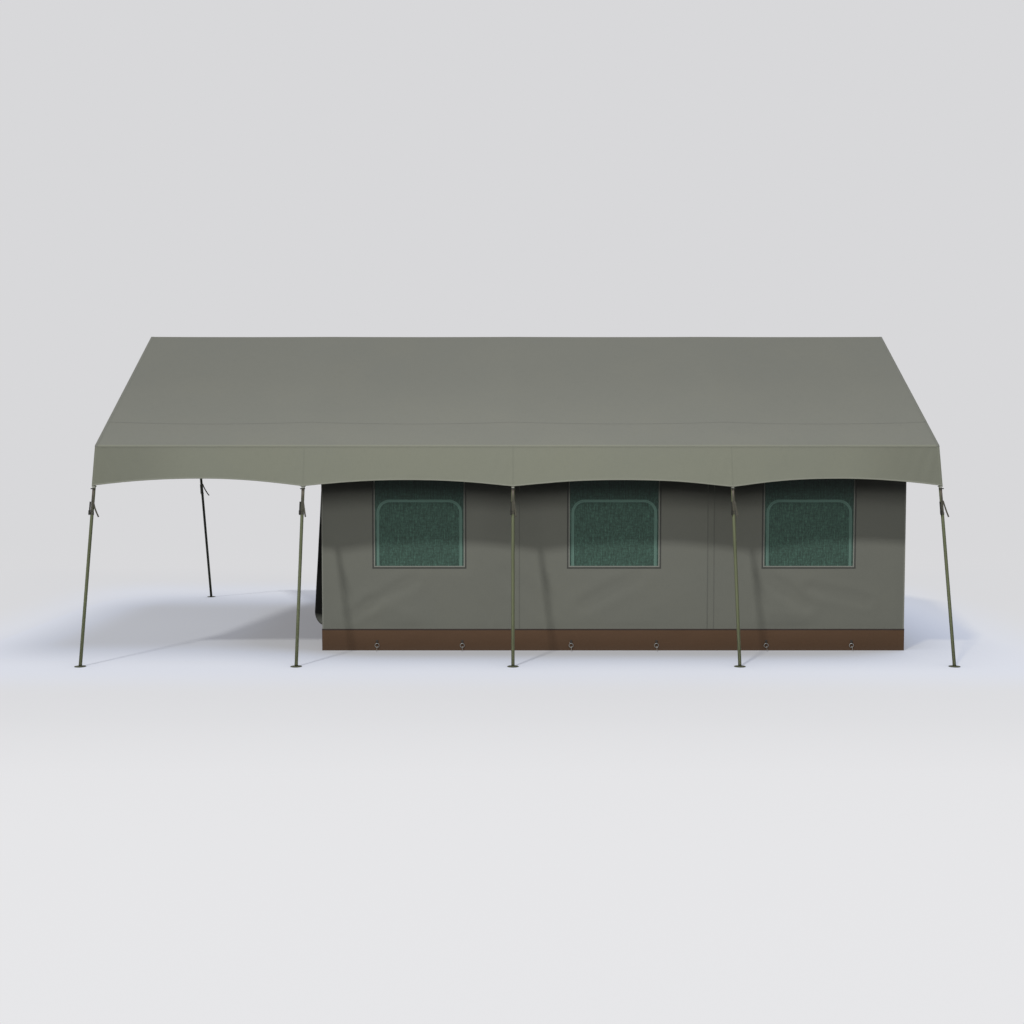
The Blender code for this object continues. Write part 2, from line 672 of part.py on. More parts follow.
def make_inner_roof():
    """Inner roof that hangs on webbing loops from the ridge rail."""
    grids = []
    for lift in (CANVAS / math.cos(SLOPE), 0):
        grid = []
        for x in (WALL_START, WALL_END):
            ys = (-INNER_HALF_WIDTH, 0, INNER_HALF_WIDTH)
            grid.append([Vector((x, y, ceiling(y) + lift)) for y in ys])
        grids.append(grid)
    roof = sheet("inner_roof", *grids)
    loops = []
    tapes = []
    bore = TUBE_RADIUS + SEAT
    for x in loop_places():
        ends = [at(x + d, 1, RIDGE_CENTRE) for d in (-LOOP_WIDTH / 2, LOOP_WIDTH / 2)]
        loops.append(pipe("loop", *ends, (0, 1, 0), bore + WEBBING, bore, TUBE_SIDES))
        low = (x - LOOP_WIDTH / 2 + GAP, -WEBBING / 2, ceiling(0) + CANVAS / 2)
        high = (x + LOOP_WIDTH / 2 - GAP, WEBBING / 2, RIDGE_CENTRE.y - bore - WEBBING / 2)
        tapes.append(box("tape", low, high))
    place("inner_roof", combine("inner_roof", roof, tapes + loops), WALL_CANVAS)


make_fly()
make_rails()
make_frames()
make_groundsheet()
make_inner_roof()
make_long_wall(-1, "front")
make_long_wall(1, "rear")
make_end_walls()
make_partitions()
make_veranda_doors()
make_windows()
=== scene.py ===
import math
import bpy
from mathutils import Matrix, Vector, noise


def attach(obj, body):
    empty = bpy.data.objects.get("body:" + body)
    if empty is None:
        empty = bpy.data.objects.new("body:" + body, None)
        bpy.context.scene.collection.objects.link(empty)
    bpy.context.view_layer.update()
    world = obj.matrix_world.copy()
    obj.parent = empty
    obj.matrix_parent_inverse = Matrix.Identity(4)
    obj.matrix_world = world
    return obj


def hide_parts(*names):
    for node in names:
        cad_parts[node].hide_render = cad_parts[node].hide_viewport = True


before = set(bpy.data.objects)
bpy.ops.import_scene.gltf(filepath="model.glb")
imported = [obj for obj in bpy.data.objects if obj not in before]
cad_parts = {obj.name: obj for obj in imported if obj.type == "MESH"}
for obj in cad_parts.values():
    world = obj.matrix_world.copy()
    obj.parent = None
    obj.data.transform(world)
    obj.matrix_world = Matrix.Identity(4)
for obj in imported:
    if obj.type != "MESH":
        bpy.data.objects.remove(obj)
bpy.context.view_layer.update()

# The tent stands on a plain floor and is drawn in plain colours.
scene = bpy.context.scene
scene.view_settings.view_transform = "Standard"


# Steel frame: a ridge rail, two eave rails, ten rafters and ten splayed legs of 38 mm tube under
# satin olive paint. The rails and rafters are the frame's own tubes, repainted. Each leg is drawn
# anew, with its welded and drilled foot disc and the cross pin that the strap pulls down on.
SIDES = ("front", "rear")
FRAME_X = (-4.98, -2.52, -0.05, 2.535, 4.98)
EAVE = Vector((2.4818, 2.4924))
LEG_DOWN = Vector((0.2886, -0.9575))
LEG_ENDS = (0.0244, 2.64)
TUBE_RADIUS, TUBE_FOOT = 0.019, 0.003
WELD_RADIUS, WELD_THICK = 0.0198, 0.0024
FOOT_OUT = 3.233
DISC_RADIUS, DISC_THICK, DISC_TOP = 0.065, 0.0045, 0.006
DISC_RIM, DISC_EDGE = 0.024, 0.001
PEG_HOLE_OUT, PEG_HOLE_RADIUS = 0.052, 0.0055
PIN_RADIUS, PIN_LENGTH, PIN_DOWN = 0.004, 0.062, 0.48
ACROSS = (0, math.pi / 2, 0)


def add_node(kind, inputs=(), tree=None, **settings):
    """Shader node whose sockets take values or other nodes' outputs, made in the tree of the latter."""
    inputs = dict(inputs)
    sources = [value for value in inputs.values() if isinstance(value, bpy.types.NodeSocket)]
    tree = tree or sources[0].id_data
    node = tree.nodes.new("ShaderNode" + kind)
    for name, value in settings.items():
        setattr(node, name, value)
    for socket, value in inputs.items():
        if isinstance(value, bpy.types.NodeSocket):
            tree.links.new(value, node.inputs[socket])
        else:
            node.inputs[socket].default_value = value
    return node


def calc(operation, *values):
    """Result of one sum on numbers or sockets."""
    return add_node("Math", enumerate(values), operation=operation).outputs[0]


def times(first, second):
    """Product of two numbers or sockets."""
    return calc("MULTIPLY", first, second)


def plus(first, second):
    """Total of two numbers or sockets."""
    return calc("ADD", first, second)


def ramp(value, low, high, start=0.0, end=1.0, kind="LINEAR"):
    """Value turned from the range low to high into the range start to end, and held inside it."""
    inputs = {"Value": value, "From Min": low, "From Max": high, "To Min": start, "To Max": end}
    return add_node("MapRange", inputs, interpolation_type=kind).outputs[0]


def mix(share, first, second, kind="MIX"):
    """Colour between two others, each of them three numbers or a socket."""
    first, second = [(*one, 1.0) if isinstance(one, tuple) else one for one in (first, second)]
    return add_node("Mix", {0: share, 6: first, 7: second}, data_type="RGBA", blend_type=kind).outputs[2]


def filtered(colour, by):
    """Colour multiplied by another colour or by a share."""
    return mix(1.0, colour, by, "MULTIPLY")


def shade(colour, share):
    """Lighter or darker form of a colour."""
    return tuple(c * share for c in colour)


def object_place(tree):
    """Place on the piece, in metres."""
    return add_node("TexCoord", tree=tree).outputs["Object"]


def xyz(vector):
    """The three numbers of a place or direction."""
    return add_node("SeparateXYZ", {"Vector": vector}).outputs[:]


def patches(where, scale, detail=2.0):
    """Cloudy pattern from 0 to 1, scale being about how many patches there are in a metre."""
    return add_node("TexNoise", {"Vector": where, "Scale": scale, "Detail": detail}).outputs["Fac"]


def new_material(name, specular=0.5, **sockets):
    """Material with plain numbers on its shader; gives the material, its nodes and its shader."""
    material = bpy.data.materials.new(name)
    material.use_nodes = True
    shader = material.node_tree.nodes["Principled BSDF"]
    shader.inputs["Specular IOR Level"].default_value = specular
    for socket, value in sockets.items():
        shader.inputs[socket.replace("_", " ").title()].default_value = value
    return material, material.node_tree, shader


def finish(shader, colour, relief, depth, strength, rough=None):
    """Give the shader its colour, a relief of that depth in metres, and its roughness if it varies."""
    bump = add_node("Bump", {"Height": relief, "Distance": depth, "Strength": strength})
    links = shader.id_data.links
    links.new(colour, shader.inputs["Base Color"])
    links.new(bump.outputs["Normal"], shader.inputs["Normal"])
    if rough:
        links.new(rough, shader.inputs["Roughness"])


def satin_paint(name, colour, bare, roughness):
    """Sprayed paint: faint orange peel, dust near the ground, and chips that show the metal. The
    side turned to the tent's middle is painted darker as shade, the lower legs are painted paler
    as light, and the foot discs are darker."""
    material, tree, shader = new_material(name, 0.22)
    place = object_place(tree)
    y, height = xyz(place)[1:]
    facing_y = xyz(add_node("NewGeometry", tree=tree).outputs["Normal"])[1]
    # Painted shade: the side turned to the tent's middle is darker.
    inside = ramp(times(facing_y, calc("SIGN", y)), -0.5, 0.1, 0.16, 1.0)
    cloudy = patches(place, 5.0, 3.0)
    dusty = times(ramp(height, 0.30, 0.0), patches(place, 40.0, 4.0))
    chips = ramp(patches(place, 90.0, 5.0), 0.70, 0.74)
    coat = mix(cloudy, shade(colour, 0.86), shade(colour, 1.12))
    coat = mix(times(dusty, 0.3), coat, (0.23, 0.20, 0.15))
    coat = mix(chips, coat, bare)
    on_disc = ramp(height, 0.010, 0.030, 0.19, 1.0)
    # Painted light: the lower legs are paler.
    painted_light_low_on_leg = ramp(height, 0.1, 1.35, 2.4, 1.0)
    coat = filtered(coat, times(inside, times(on_disc, painted_light_low_on_leg)))
    rough = ramp(cloudy, 0.3, 0.7, roughness - 0.06, roughness + 0.08)
    rough = plus(rough, times(dusty, 0.35))
    peel = calc("SUBTRACT", patches(place, 420.0), times(chips, 0.8))
    finish(shader, coat, peel, 0.0002, 0.35, rough)
    return material


def select(*pieces):
    """Select these pieces alone, the first one active. With none, clear the way for a primitive."""
    bpy.ops.object.select_all(action="DESELECT")
    for piece in pieces:
        piece.select_set(True)
        bpy.context.view_layer.objects.active = pieces[0]


def pick_faces(piece, wanted):
    """Open a piece for editing with only those faces selected that wanted(face) takes."""
    scene.tool_settings.mesh_select_mode = (False, False, True)
    for part in [*piece.data.vertices, *piece.data.edges]:
        part.select = False
    for face in piece.data.polygons:
        face.select = wanted(face)
    bpy.ops.object.mode_set(mode="EDIT")


def leave_edit():
    """Back to object mode."""
    bpy.ops.object.mode_set(mode="OBJECT")


def step_faces(inset, shift):
    """Inset the picked faces and move the inner part."""
    bpy.ops.mesh.inset(thickness=inset)
    bpy.ops.mesh.extrude_region_move(TRANSFORM_OT_translate={"value": shift})


def settle(piece, angle=35):
    """Bake a piece's place into its mesh and smooth its round faces."""
    select(piece)
    bpy.ops.object.transform_apply(location=True, rotation=True, scale=True)
    bpy.ops.object.shade_smooth_by_angle(angle=math.radians(angle))
    return piece


def join(pieces):
    """One object from several."""
    select(*pieces)
    bpy.ops.object.join()
    return pieces[0]


def use_modifier(piece, kind, **settings):
    """Add a modifier and apply it."""
    select(piece)
    modifier = piece.modifiers.new(kind.title(), kind)
    for name, value in settings.items():
        setattr(modifier, name, value)
    bpy.ops.object.modifier_apply(modifier=modifier.name)
    return piece


def soften(piece, width, segments=2):
    """Round a piece's sharp edges."""
    return use_modifier(piece, "BEVEL", width=width, segments=segments,
                        limit_method="ANGLE", angle_limit=math.radians(50))


def rod(radius, length, centre, turn=ACROSS, sides=16):
    """Cylinder to start a piece from, lying across unless turned."""
    select()
    bpy.ops.mesh.primitive_cylinder_add(
        vertices=sides, radius=radius, depth=length, location=centre, rotation=turn)
    return bpy.context.object


def remove(*pieces):
    """Take patterns away once they have been copied."""
    for piece in pieces:
        bpy.data.objects.remove(piece)


def twin(piece, side="front", x=0.0):
    """Copy with its own mesh for one side of the tent, moved along it."""
    other = piece.copy()
    other.data = piece.data.copy()
    scene.collection.objects.link(other)
    if side == "rear":
        other.data.transform(Matrix.Scale(-1, 4, (0, 1, 0)))
        other.data.flip_normals()
    other.data.transform(Matrix.Translation((x, 0, 0)))
    return other


def keep(piece, name, material, body="tent", stands_for=()):
    """Name a finished piece, dress it, say what it rides on, and hide the frame's nodes it stands for."""
    piece.name = piece.data.name = name
    piece.data.materials.clear()
    piece.data.materials.append(material)
    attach(piece, body)
    if stands_for:
        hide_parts(*stands_for)
    return piece


def both_sides(places):
    """Side, numbered name and place of each of the like pieces, front side first."""
    return [(side, side + "_" + str(k), x) for side in SIDES for k, x in enumerate(places, 1)]


olive_paint = satin_paint("olive_paint", (0.178, 0.196, 0.112), (0.060, 0.052, 0.042), 0.50)
rails = ["ridge_rail", "eave_rail_front", "eave_rail_rear"]
for name in rails + ["rafter_" + name for side, name, x in both_sides(FRAME_X)]:
    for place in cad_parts[name].material_slots:
        place.material = olive_paint


def leg_point(across, out, down):
    """Point by a front leg at x 0: across the tent's face, out from the tube, down from the eave."""
    spot = EAVE + Vector((-LEG_DOWN.y, LEG_DOWN.x)) * out + LEG_DOWN * down
    return Vector((across, -spot.x, spot.y))


def leg_tube():
    """Tube from its reduced end in the rail's sleeve to the disc, cut level with the ground."""
    top, bottom = [leg_point(0, 0, down) for down in LEG_ENDS]
    run = top - bottom
    up, tilt = run.normalized(), run.to_track_quat("Z", "X").to_euler()
    tube = settle(rod(TUBE_RADIUS, run.length, (top + bottom) / 2, tilt, 32))
    pick_faces(tube, lambda face: face.normal.dot(up) > 0.9)
    step_faces(inset=0.0015, shift=up * 0.0008)
    step_faces(inset=0.0092, shift=up * 0.0136)
    bpy.ops.mesh.select_all(action="SELECT")
    bpy.ops.mesh.bisect(plane_co=(0, 0, TUBE_FOOT), plane_no=(0, 0, 1), use_fill=True, clear_inner=True)
    leave_edit()
    return tube


def foot_disc():
    """Plate with a softened rim, a pressed rise round the tube and four peg holes."""
    disc = settle(rod(DISC_RADIUS, DISC_THICK, (0, -FOOT_OUT, DISC_THICK / 2), (0, 0, 0), 64))
    pick_faces(disc, lambda face: face.normal.z > 0.9)
    step_faces(inset=DISC_RIM, shift=(0, 0, DISC_TOP - DISC_THICK))
    bpy.ops.mesh.inset(thickness=0.003)
    leave_edit()
    soften(disc, DISC_EDGE)
    for turn in (45, 135, 225, 315):
        x, y = math.cos(math.radians(turn)), math.sin(math.radians(turn))
        drill = rod(PEG_HOLE_RADIUS, 0.03, (PEG_HOLE_OUT * x, PEG_HOLE_OUT * y - FOOT_OUT, 0), (0, 0, 0))
        use_modifier(disc, "BOOLEAN", operation="DIFFERENCE", object=drill, solver="EXACT")
        remove(drill)
    return settle(disc, 30)


def weld_bead():
    """Thin bead of weld where the leaning tube meets its disc."""
    select()
    bpy.ops.mesh.primitive_torus_add(
        major_segments=48, minor_segments=8, major_radius=WELD_RADIUS, minor_radius=WELD_THICK,
        location=leg_point(0, 0, (EAVE.y - DISC_TOP) / -LEG_DOWN.y))
    bead = bpy.context.object
    bead.scale = (1, 1.045, 0.8)
    return settle(bead)


def cross_pin():
    """Steel pin through the leg just under the hem, with rounded ends."""
    pin = settle(rod(PIN_RADIUS, PIN_LENGTH, leg_point(0, 0, PIN_DOWN)))
    return settle(soften(pin, 0.0014, 3))


leg = join([leg_tube(), foot_disc(), weld_bead(), cross_pin()])
for side, name, x in both_sides(FRAME_X):
    keep(twin(leg, side, x), "steel_leg_" + name, olive_paint, stands_for=["leg_" + name])
remove(leg)


# Fly roof: one sheet of waxed grey-olive canvas over the ridge rail, down both slopes and a little
# past each eave rail. It touches the steel only at the sleeves and the three rails, so every bay
# sags a little. One long lapped seam runs across each slope and a hem is turned in at each gable.
RIDGE = Vector((0, 3.9534))
FLY_END = 5.0
SLOPE = math.atan2(3.984 - 2.51, 2.504)
HEM_DOWN = Vector((0.143, -0.465)).normalized()
COVER = 0.0264
SLOPE_RUN = (RIDGE - EAVE).length
RIDGE_ARC = COVER * SLOPE
CREASE_ARC = COVER * (-math.atan2(HEM_DOWN.y, HEM_DOWN.x) - SLOPE)
CREASE = RIDGE_ARC + SLOPE_RUN + CREASE_ARC / 2
ROOF_LAP = 0.006
ROOF_HALF = RIDGE_ARC + SLOPE_RUN + CREASE_ARC + ROOF_LAP
CANVAS_THICK = 0.0018
SAG_AT_RIDGE, SAG_DOWN_SLOPE = 0.003, 0.035
SWAY, SMALL_SWAY = 0.004, 0.0016
SEAM_DOWN = RIDGE_ARC + SLOPE_RUN * 0.81
SEAM_THREAD = (0.120, 0.122, 0.105)
TAPE_HALF, TAPE_LIFT = 0.017, 0.0011


def steps(low, high, count):
    """Even places from low to high."""
    return [low + (high - low) * k / count for k in range(count + 1)]


def ripple(x, y, size, seed):
    """Smooth uneven height between -1 and 1 with bumps of about that size in metres."""
    return noise.noise(Vector((x / size, y / size, seed)))


def between(value, low, high):
    """0 below low, 1 above high, even between."""
    return min(1.0, max(0.0, (value - low) / (high - low)))


def hump(share):
    """0 at either end and 1 midway."""
    return 4 * share * (1 - share)


def bay_of(x):
    """Number of the bay between frames that x is in."""
    return max([k for k, at in enumerate(FRAME_X[:-1]) if x >= at], default=0)


def bay_arch(x, margin):
    """0 beside each frame and 1 midway between frames."""
    low, high = FRAME_X[bay_of(x)], FRAME_X[bay_of(x) + 1]
    return hump(between(x, low + margin, high - margin))


def cloth(columns, rows, surface, thickness, cut=None, dropped=None, angle=40):
    """Sheet of fabric on surface(column, row), with its flat cut in metres as the UV map."""
    select()
    width = len(columns)
    bpy.ops.mesh.primitive_grid_add(x_subdivisions=width - 1, y_subdivisions=len(rows) - 1, size=2)
    piece = bpy.context.object
    mesh = piece.data
    mesh.vertices.foreach_set("co", [c for v in rows for u in columns for c in surface(u, v)])
    flat = [cut(u, v) if cut else (u, v) for v in rows for u in columns]
    mesh.uv_layers[0].name = "cut"
    for loop, spot in zip(mesh.loops, mesh.uv_layers["cut"].data):
        spot.uv = flat[loop.vertex_index]
    mesh.update()

    def is_dropped(face):
        n, k = divmod(min(face.vertices), width)
        return dropped((columns[k] + columns[k + 1]) / 2, (rows[n] + rows[n + 1]) / 2)

    if dropped:
        pick_faces(piece, is_dropped)
        bpy.ops.mesh.delete(type="FACE")
        leave_edit()
    if thickness:
        use_modifier(piece, "SOLIDIFY", thickness=thickness, offset=-1.0, use_even_offset=False)
    select(piece)
    bpy.ops.object.shade_smooth_by_angle(angle=math.radians(angle))
    return piece


def cut_ways(tree):
    """Metres along the cut and across it."""
    return xyz(add_node("UVMap", tree=tree, uv_map="cut").outputs[0])[:2]


def waves(place, length):
    """Even waves from -1 to 1 of that length in metres."""
    return calc("SINE", times(place, 2 * math.pi / length))


def weave(tree, thread):
    """Plain weave on the cut, from 0 to 1; also gives the cut's two directions."""
    along, across = cut_ways(tree)
    crossed = times(waves(along, thread), waves(across, thread))
    return ramp(crossed, -1.0, 1.0), along, across


def streaks(along, across, dense, long, detail=3.0):
    """Uneven threads: patches pulled out lengthwise."""
    spot = {"X": times(along, dense), "Y": times(across, long)}
    return patches(add_node("CombineXYZ", spot).outputs[0], 1.0, detail)


def canvas(name, colour, thread=0.0016, unevenness=0.05, weathering=0.07, specular=0.5, sheen=0.12):
    """Waxed cotton canvas: plain weave with thick and thin threads, cloudy wax and light wear."""
    material, tree, shader = new_material(name, specular, sheen_weight=sheen, sheen_roughness=0.55)
    place = object_place(tree)
    woven, along, across = weave(tree, thread)
    warp_threads = streaks(along, across, 420.0, 9.0)
    weft_threads = streaks(along, across, 9.0, 420.0)
    threads = times(plus(warp_threads, weft_threads), 0.5)
    wax = patches(place, 1.3, 4.0)
    rub = patches(place, 14.0, 5.0)
    dark, waxed = shade(colour, 0.45), (colour[0] * 1.9, colour[1] * 1.8, colour[2] * 1.7)
    shown = mix(ramp(threads, 0.35, 0.65), shade(colour, 1 - unevenness), shade(colour, 1 + unevenness))
    shown = mix(ramp(woven, 0.0, 1.0, 0.16, 0.0), shown, dark)
    shown = mix(ramp(wax, 0.35, 0.68, 0.0, weathering), shown, waxed)
    shown = mix(ramp(rub, 0.56, 0.80, 0.0, weathering), shown, dark)
    relief = plus(woven, times(threads, 1.2))
    finish(shader, shown, relief, 0.0004, 0.45, ramp(wax, 0.3, 0.7, 0.79, 0.90))
    return material


def paint_shade_along(material, axis, low, high, start, end):
    """Multiply a finish by a share that goes from start to end along an axis, alike on both sides, as painted
    shade.
    """
    tree = material.node_tree
    colour = tree.nodes["Principled BSDF"].inputs["Base Color"]
    along = calc("ABSOLUTE", xyz(object_place(tree))["XYZ".index(axis)])
    shown = filtered(colour.links[0].from_socket, ramp(along, low, high, start, end))
    tree.links.new(shown, colour)
    return material


def roof_profile(d):
    """Out and up of the roof's outside, d metres of cloth from the ridge line."""
    turn = min(d / COVER, SLOPE)
    d -= RIDGE_ARC
    if d >= SLOPE_RUN:
        turn = min(d - SLOPE_RUN, CREASE_ARC) / COVER + SLOPE
    core = RIDGE.lerp(EAVE, between(d, 0.0, SLOPE_RUN))
    past = max(0.0, d - SLOPE_RUN - CREASE_ARC)
    return core + Vector((math.sin(turn), math.cos(turn))) * COVER + HEM_DOWN * past


def roof_surface(x, s):
    """Outside of the roof, s metres of cloth from the ridge line and negative on the front slope."""
    d = abs(s)
    spot = roof_profile(d)
    share = 1 - between(d, RIDGE_ARC, RIDGE_ARC + SLOPE_RUN)
    free = bay_arch(x, 0.045)
    sag = (SAG_AT_RIDGE * share + SAG_DOWN_SLOPE * hump(share)) * free
    sway = (SWAY * ripple(x, s, 0.9, 1.0) + SMALL_SWAY * ripple(x, s, 0.32, 5.0)) * hump(share)
    sway *= 0.3 + 0.7 * min(1.0, free * 3)
    return x, math.copysign(spot.x, s), spot.y - sag + sway


half_rows = (
    steps(0, RIDGE_ARC, 3) + steps(RIDGE_ARC, RIDGE_ARC + SLOPE_RUN, 44)[1:]
    + steps(RIDGE_ARC + SLOPE_RUN, ROOF_HALF - ROOF_LAP, 6)[1:] + steps(ROOF_HALF - ROOF_LAP, ROOF_HALF, 2)[1:])
roof_rows = sorted({sign * d for d in half_rows for sign in (1, -1)})
# The roof canvas is painted darker towards the ridge, as shade.
roof_canvas = paint_shade_along(canvas("roof_canvas", (0.192, 0.196, 0.165)), "Z", 2.6, 3.4, 0.99, 0.90)
fly_roof = cloth(steps(-FLY_END, FLY_END, 240), roof_rows, roof_surface, CANVAS_THICK)
keep(fly_roof, "fly_roof_canvas", roof_canvas, stands_for=["fly_roof"])


def sewn(name, colour, lines, thread_colour=SEAM_THREAD, stitch=0.006, **look):
    """The same canvas with rows of machine stitches; lines are their places across the cut."""
    material = canvas(name, colour, **look)
    tree = material.node_tree
    colour_in = tree.nodes["Principled BSDF"].inputs["Base Color"]
    height_in = tree.nodes["Bump"].inputs["Height"]
    along, across = cut_ways(tree)
    rows = 0.0
    for line in lines:
        off = calc("ABSOLUTE", calc("SUBTRACT", across, line))
        rows = calc("MAXIMUM", rows, ramp(off, 0.0011, 0.0006))
    dashes = times(rows, ramp(waves(along, stitch), -0.75, -0.45))
    furrows = plus(times(rows, -1.5), times(dashes, 3.0))
    tree.links.new(mix(dashes, colour_in.links[0].from_socket, thread_colour), colour_in)
    tree.links.new(plus(height_in.links[0].from_socket, furrows), height_in)
    return material


def run_lengths(points):
    """Length of a bent line up to each of its points."""
    lengths = [0.0]
    for a, b in zip(points, points[1:]):
        lengths.append(lengths[-1] + math.hypot(b[0] - a[0], b[1] - a[1]))
    return lengths


def strip(columns, profile, place, along=None):
    """Trim without thickness on place(column, row of its profile)."""
    lengths = run_lengths(profile)
    return cloth(columns, range(len(profile)), place, 0, angle=50,
                 cut=lambda u, k: (along[u] if along else u, lengths[k]))


def band(columns, profile, surface, turned=False):
    """Folded strip sewn on a surface: profile gives (place across, lift), columns run along it."""
    step = 0.002

    def place(u, k):
        across, lift = profile[k]
        along_run = Vector(surface(u + step, across)) - Vector(surface(u - step, across))
        across_run = Vector(surface(u, across + step)) - Vector(surface(u, across - step))
        return Vector(surface(u, across)) + along_run.cross(across_run).normalized() * lift

    sewn_strip = strip(columns, profile, place)
    if turned:
        sewn_strip.data.flip_normals()
    return sewn_strip


def sewn_on(width, low, lift=0.0012):
    """Profile of a flat strip whose edges come down onto the cloth."""
    high = low + width
    return [(low, 0.0), (low + 0.0004, lift), (low + width / 2, lift), (high - 0.0004, lift), (high, 0.0)]


roof_columns = steps(-FLY_END, FLY_END, 160)
roof_trim = sewn("roof_seam_canvas", (0.168, 0.172, 0.146), (0.0035, 0.0145))
roof_seams = join([
    band(roof_columns, sewn_on(0.018, middle - 0.009), roof_surface) for middle in (-SEAM_DOWN, SEAM_DOWN)])
keep(roof_seams, "fly_roof_seams", roof_trim)

# The crease tape is paler than the roof, standing partly for a painted highlight along the crease.
tape_weave = sewn("crease_tape_weave", (0.226, 0.232, 0.182), (0.003, 0.031), thread=0.0022)
tapes = []
for middle in (-CREASE, CREASE):
    low, high = (middle - TAPE_HALF, 0.0), (middle + TAPE_HALF, 0.0)
    around = [(middle + TAPE_HALF * share, TAPE_LIFT) for share in steps(-0.98, 0.98, 10)]
    tapes.append(band(roof_columns, [low] + around + [high], roof_surface))
crease_tapes = keep(join(tapes), "fly_crease_tapes", tape_weave)

GABLE_FOLD = (
    (0.034, 0.0), (0.0336, 0.0012), (0.017, 0.0012), (0.0005, 0.0011), (-0.0012, -0.0002),
    (-0.0012, -0.0016), (0.0005, -0.0030), (0.017, -0.0031), (0.034, -0.0018))
gable_hem = sewn("gable_hem_canvas", (0.182, 0.186, 0.158), (0.004, 0.030))
hems = []
for sign in (-1, 1):
    hems.append(band(
        roof_rows, GABLE_FOLD, lambda s, inward: roof_surface(sign * (FLY_END - inward), sign * s), turned=True))
gable_hems = keep(join(hems), "fly_gable_hems", gable_hem)


# Valances: a strip of the same canvas hangs from each eave crease and leans out like the legs.
# Its lower edge is cut in a shallow arch over every bay, bound with paler tape, and pulled down
# at each leg, so that the cloth near the legs and at both ends carries small slanting folds.
HEM_RISES = (0.078, 0.062, 0.062, 0.078)
VALANCE_DROP = 0.4763
WAVE, SMALL_WAVE, TUCK = 0.0045, 0.0022, 0.0019
FOLD_DEPTH, FOLD_APART, FOLD_REACH = 0.0022, 0.155, 0.26
PULLS = (1.9, 0.7, 0.6, 0.7, 1.3)
PULLED_DOWN = (0.002, 0.010, 0.012, 0.018, 0.004)
TURNED_UP = (
    (0.017, 0.0), (0.0167, 0.0013), (0.0085, 0.0014), (0.0006, 0.0012), (-0.0012, -0.0002),
    (-0.0012, -0.0017), (0.0006, -0.0031), (0.0085, -0.0032), (0.017, -0.0018))


def ease(value, low, high):
    """0 below low, 1 above high, smooth between."""
    share = between(value, low, high)
    return share * share * (3 - 2 * share)


def valance_drop(x):
    """Length of cloth from the crease down to the scalloped hem."""
    drop = VALANCE_DROP - HEM_RISES[bay_of(x)] * bay_arch(x, 0) / -HEM_DOWN.y
    return drop + sum(more * math.exp(-((x - at) / 0.5) ** 2) for more, at in zip(PULLED_DOWN, FRAME_X))


def valance_surface(x, up):
    """Outside of the front valance, up being metres of cloth above its hem."""
    drop = valance_drop(x)
    down = drop - up
    share = max(0.0, down / drop)
    wave = WAVE * ripple(x, down, 0.55, 9.0) + SMALL_WAVE * ripple(x, down, 0.21, 3.0)
    wave *= share * min(1.0, bay_arch(x, 0) * 2.5)
    depth = FOLD_DEPTH * math.sin(math.pi * min(1.0, 0.12 + 0.75 * share))
    for pull, at in zip(PULLS, FRAME_X):
        away = abs(x - at)
        fold = math.sin(2 * math.pi * (away / FOLD_APART - 1.1 * share) + 1.0)
        wave += depth * pull * math.exp(-away / FOLD_REACH) * fold * ease(away, 0.01, 0.09)
    tuck = TUCK * (1 - ease(down, 0.028, 0.16))
    spot = EAVE + Vector((-HEM_DOWN.y, HEM_DOWN.x)) * (COVER + wave - tuck) + HEM_DOWN * down
    return x, -spot.x, spot.y


def valance_part(x, share):
    """Outside of the front valance, a share of the way up from its hem."""
    return valance_surface(x, share * valance_drop(x))


# The valance canvas is painted darker towards both ends, as shade.
valance_canvas = paint_shade_along(canvas("valance_canvas", (0.209, 0.217, 0.167)), "X", 3.9, 4.5, 1.0, 0.88)
hem_binding = sewn("hem_binding_canvas", (0.262, 0.270, 0.215), (0.0035,))
valance_seam = sewn("valance_seam_canvas", (0.203, 0.211, 0.162), (0.003, 0.013), (0.160, 0.166, 0.130))
valance_columns = sorted(set(steps(-FLY_END, FLY_END, 400)) | set(FRAME_X))
hanging = cloth(valance_columns, steps(0, 1, 26), valance_part, CANVAS_THICK,
                cut=lambda x, share: (x, share * valance_drop(x)))
bound = band(valance_columns, TURNED_UP, valance_surface, turned=True)
frame_seams = join([
    band(steps(0, 1, 20), sewn_on(0.016, -at - 0.008, 0.0007), lambda share, back: valance_part(-back, share))
    for at in FRAME_X])
for side in SIDES:
    name = "fly_valance_" + side
    sheet = keep(twin(hanging, side), name + "_canvas", valance_canvas, stands_for=[name])
    edge = keep(twin(bound, side), name + "_binding", hem_binding)
    seams = keep(twin(frame_seams, side), name + "_seams", valance_seam)
remove(hanging, bound, frame_seams)


# Hem straps: at each leg tan webbing is sewn behind the hem, runs down the leg and closes in a loop
# round it. A slim dark steel cam buckle lies beside it, with a toggle bar under the hem, its loose
# tail leans away, and a pale tab covers the seam. Slanting ribs and dark bar tacks mark the webbing.
# The buckle's near-black paint is partly painted shade.
STRAP_HALF, STRAP_OUT, STRAP_THICK = 0.0125, 0.0214, 0.002
STRAP_DOWN = (0.42, 0.825)
LOOP_DOWN = (0.80, 0.8125, 0.825)
LOOP_RADIUS = 0.0219
TAIL_HALF = 0.0085
TAIL_REACH = (0.094, 0.048, 0.034, 0.040, 0.056)
TAB_HALF = 0.015
TAB_DOWN = (0.464, 0.509)
BUCKLE_ACROSS = -0.0235
PLATE_SIZE, PLATE_OUT, PLATE_DOWN = (0.0175, 0.0026, 0.158), 0.0220, 0.7510
CHEEK_SIZE, CHEEK_ACROSS, CHEEK_OUT, CHEEK_DOWN = (0.0026, 0.0115, 0.044), 0.0096, 0.0282, 0.800
